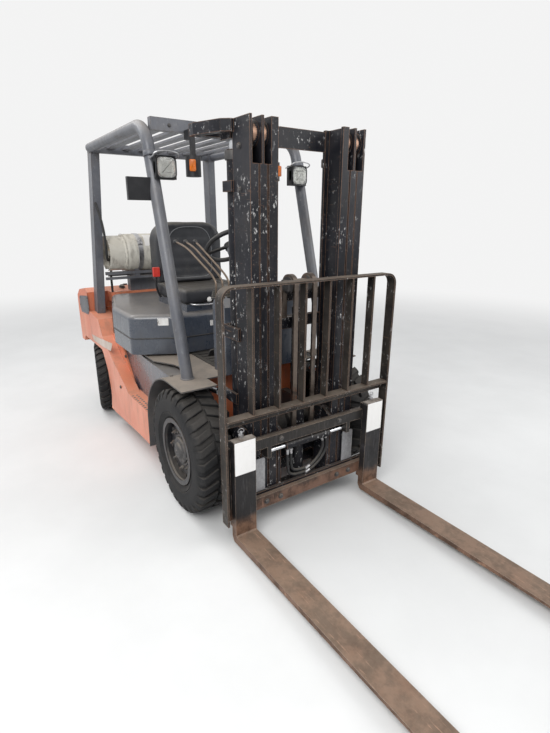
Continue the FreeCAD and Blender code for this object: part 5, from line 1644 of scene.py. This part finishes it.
@dataclass
class TankFittings:
    """Weld seams, straps, blank label and valve of the gas tank."""

    radius: float = 0.147
    x: float = -1.650
    z: float = 1.322
    straps_y: tuple[float, float] = (-0.205, 0.175)

    def stand(self, y: float = 0.0) -> Matrix:
        """Return a place on the tank's axis, with local Z along +Y."""
        return mounted(at(self.x, y, self.z), Vector(LEFT))

    def band(self, name: str, y: float, half: float, rise: float) -> Shape:
        """Return a ring round the tank."""
        ring = self.radius + rise
        return Shape.lathe(name, (
            (self.radius - 0.001, -half), (ring - 0.3 * rise, -half), (ring, -half + 0.3 * rise),
            (ring, half - 0.3 * rise), (ring - 0.3 * rise, half), (self.radius - 0.001, half)), self.stand(y), 64,
            "loop")

    def straps(self) -> None:
        """Build the two steel straps with their clamp screws, and the weld seams."""
        straps, strap = (self.band(name, y, 0.019, 0.0032) for name, y in zip(("tank_straps", "strap"), self.straps_y))
        straps.join(strap)
        for y in self.straps_y:
            turn = math.radians(38.0)
            way = Vector((math.cos(turn), 0.0, math.sin(turn)))
            spot = at(self.x, y, self.z) + (self.radius + 0.003) * way
            lug = Shape.block("lug", (-0.018, -0.030, 0.0), (0.018, 0.030, 0.013))
            lug.bevel(everything, 0.0035, 2)
            straps.join(lug.place(mounted(spot, way)), hex_bolt(0.0075).place(mounted(spot + 0.013 * way, way)))
        straps.done("chassis", Finish.STEEL)
        seams = self.band("tank_seams", -0.015, 0.0035, 0.0016).join(
            self.band("seam", 0.285, 0.0030, 0.0014), self.band("seam", -0.315, 0.0030, 0.0014))
        seams.done("chassis", Finish.TANK)

    def label(self) -> None:
        """Stick the blank label on the tank's wall."""
        section = [(self.radius + 0.0002, -0.165), (self.radius + 0.0010, -0.165), (self.radius + 0.0010, -0.045),
                   (self.radius + 0.0002, -0.045)]
        patch = Shape.outline("tank_label", [(radius, 0.0, height) for radius, height in section])
        patch.work("FACE", everything, spin(14, math.radians(46.0)), weld, fill)
        turn = Matrix.Rotation(math.radians(self.label_turn()), 4, "Z")
        patch.place(self.stand() @ turn).done("chassis", Finish.BLANK)

    def label_turn(self) -> float:
        """Return the turn about the tank's axis that brings the label to its front."""
        front = (self.stand().to_3x3().inverted() @ Vector(FRONT))
        return math.degrees(math.atan2(front.y, front.x)) - 23.0

    def valve(self) -> None:
        """Build the brass valve with its handwheel inside the collar, and the hose nut."""
        body = Shape.lathe("tank_valve", (
            (0.0, -0.052), (0.011, -0.052), (0.011, -0.040), (0.017, -0.038), (0.017, -0.020), (0.012, -0.018),
            (0.012, 0.020), (0.024, 0.024), (0.024, 0.048), (0.0, 0.048)), self.stand(-0.368), 24)
        spokes = [Shape.rod("spoke", [Vector(STILL), Vector((x, y, 0.0))], 0.003,
            smooth=False).place(self.stand(-0.412))
                  for x, y in circle(3, 0.026)]
        rim = Shape.lathe("rim", [(0.028 + x, y) for x, y in circle(8, 0.005)], self.stand(-0.412), 28, "loop")
        body.join(rim, *spokes).done("chassis", Finish.BRASS)

    def upper_hose(self) -> None:
        """Lay the black hose that hangs from the right rear pillar to the valve."""
        route = [at(-1.575, -0.503, 1.700), at(-1.545, -0.487, 1.610), at(-1.520, -0.476, 1.500),
            at(-1.525, -0.470, 1.390),
                 at(-1.560, -0.462, 1.290), at(-1.620, -0.440, 1.262), at(-1.650, -0.400, 1.300)]
        Shape.rod("tank_hose_upper", route, 0.0095).done("chassis", Finish.HOSE)

    def build(self) -> None:
        """Build all the fittings of the tank."""
        self.straps()
        self.label()
        self.valve()
        self.upper_hose()


@dataclass
class MastFittings:
    """Glands, roller bands, hoses, plates, signs and pins of the mast, the carriage and the forks."""

    lift_x: float = 0.178
    lift_y: float = 0.290
    roller_x: float = 0.317
    roller_z: float = 1.950
    roller_radius: float = 0.0545
    hose_x: float = 0.4045
    fork_y: float = 0.440

    def glands(self) -> None:
        """Build the screwed glands on the two lift cylinders."""
        gland = Shape.lathe("gland", (
            (0.0412, -0.040), (0.0450, -0.040), (0.0460, -0.037), (0.0460, -0.004), (0.0440, 0.0), (0.0412, 0.0)),
            ORIGIN, 36, "loop")
        places = [Matrix.Translation(at(self.lift_x - 0.001, self.lift_y * side.value, 1.895)) for side in Side]
        gland.copies("cylinder_glands", places).done("mast", Finish.IRON)

    def roller_bands(self) -> None:
        """Build the bright worn running bands and bearing caps of the four upper mast rollers."""
        table = (("roller_bands_outer", "mast", 0.2765, 0.3170), ("roller_bands_middle", "mast_middle", 0.2290, 0.2605))
        for name, body, near, far in table:
            half, radius = (far - near) / 2, self.roller_radius
            band = Shape.lathe(name, (
                (0.0, -half + 0.004), (0.022, -half + 0.004), (0.025, -half + 0.001), (0.040, -half + 0.001),
                (0.043, -half + 0.003), (radius - 0.006, -half + 0.001), (radius, -half + 0.006),
                (radius + 0.0006, 0.0),
                (radius, half - 0.006), (radius - 0.006, half - 0.001), (0.043, half - 0.003), (0.040, half - 0.001),
                (0.025, half - 0.001), (0.022, half - 0.004), (0.0, half - 0.004)),
                mounted(at(self.roller_x, -(near + far) / 2, self.roller_z), Vector(RIGHT)), 48)
            band.join(band.twin("other")).done(body, Finish.ROLLER)

    def hoses(self) -> None:
        """Lay the pair of hoses in a wide U under the shift cylinder, with their pressed ends."""
        outer = ((-0.128, 0.405), (-0.128, 0.300), (-0.112, 0.238), (0.000, 0.226), (0.075, 0.248), (0.142, 0.312),
                 (0.152, 0.385), (0.128, 0.428))
        inner = ((-0.104, 0.405), (-0.104, 0.306), (-0.088, 0.262), (0.000, 0.250), (0.060, 0.270), (0.112, 0.320),
                 (0.126, 0.378), (0.106, 0.420))
        hoses, ends = [], []
        for route in (outer, inner):
            hoses.append(Shape.rod("hose", [at(self.hose_x, y, z) for y, z in route], 0.0078))
            for spot, ahead in ((route[0], route[1]), (route[3], route[4]), (route[-1], route[-2])):
                first, last = at(self.hose_x, *spot), at(self.hose_x, *ahead)
                ends.append(Shape.lathe("sleeve", (
                    (0.0, -0.004), (0.0075, -0.004), (0.0112, -0.001), (0.0112, 0.006), (0.0095, 0.008),
                    (0.0095, 0.026),
                    (0.0080, 0.029), (0.0, 0.029)), mounted(first, (last - first).normalized()), 16))
        hoses[0].merge("shift_hoses", hoses[1]).done("side_shift", Finish.HOSE)
        ends[0].merge("hose_ends", *ends[1:]).done("side_shift", Finish.STEEL)

    def guard_plates(self) -> None:
        """Build the two bare plates between the bars of the side shift."""
        sheet = Shape.block("shift_plate_right", at(0.4000, -0.352, 0.206), at(0.4030, -0.272, 0.402))
        sheet.bevel(along(0), 0.010, 3)
        sheet.inset(facing(FRONT), 0.004, -0.0008)
        sheet.both("side_shift", Finish.ZINC)

    def signs(self) -> None:
        """Stick the white blank sign on the front of each fork's shank."""
        for side in Side:
            node = f"fork_{side.word}"
            found = surface(node, at(0.9, self.fork_y * side.value, 0.49), BACK)
            if not found:
                continue
            sign = Shape.slab(f"fork_sign_{side.word}", 0.0585, 0.088, 0.0009, 0.003, 2)
            sign.inset(facing(UP), 0.0012, 0.0002)
            sign.place(mounted(*found)).done(node, Finish.SIGN)

    def fork_pins(self) -> None:
        """Build the spring pin with its pull ring on top of each fork's hook."""
        for side in Side:
            node = f"fork_{side.word}"
            found = surface(node, at(0.448, self.fork_y * side.value, 0.9), DOWN)
            if not found:
                continue
            pin = Shape.lathe(f"fork_pin_{side.word}", (
                (0.0, 0.034), (0.006, 0.034), (0.0075, 0.030), (0.0075, 0.016), (0.013, 0.014), (0.013, 0.0),
                (0.0, 0.0)),
                Matrix.Translation(found[0]), 20)
            loop = [found[0] + Vector((0.0, 0.016 * math.cos(math.tau * k / 16),
                0.034 + 0.012 * math.sin(math.tau * k / 16)))
                    for k in range(16)]
            pin.join(Shape.rod("ring", loop, 0.0022, smooth=False, loop=True)).done(node, Finish.STEEL)

    def build(self) -> None:
        """Build all the fittings of the mast."""
        self.glands()
        self.roller_bands()
        self.hoses()
        self.guard_plates()
        self.signs()
        self.fork_pins()


def main() -> None:
    """Build the studio and every part of the dressed truck."""
    logging.basicConfig(level=logging.INFO, format="%(message)s")
    Studio().build()
    dress_cad_nodes()
    for wheel in Wheel.every():
        wheel.build()
    Bodywork().build()
    GuardFittings().build()
    Seat.on_hood().build()
    Controls().build()
    TankFittings().build()
    MastFittings().build()
    for row in BoltRow.every():
        row.build()


if __name__ == "__main__":
    main()
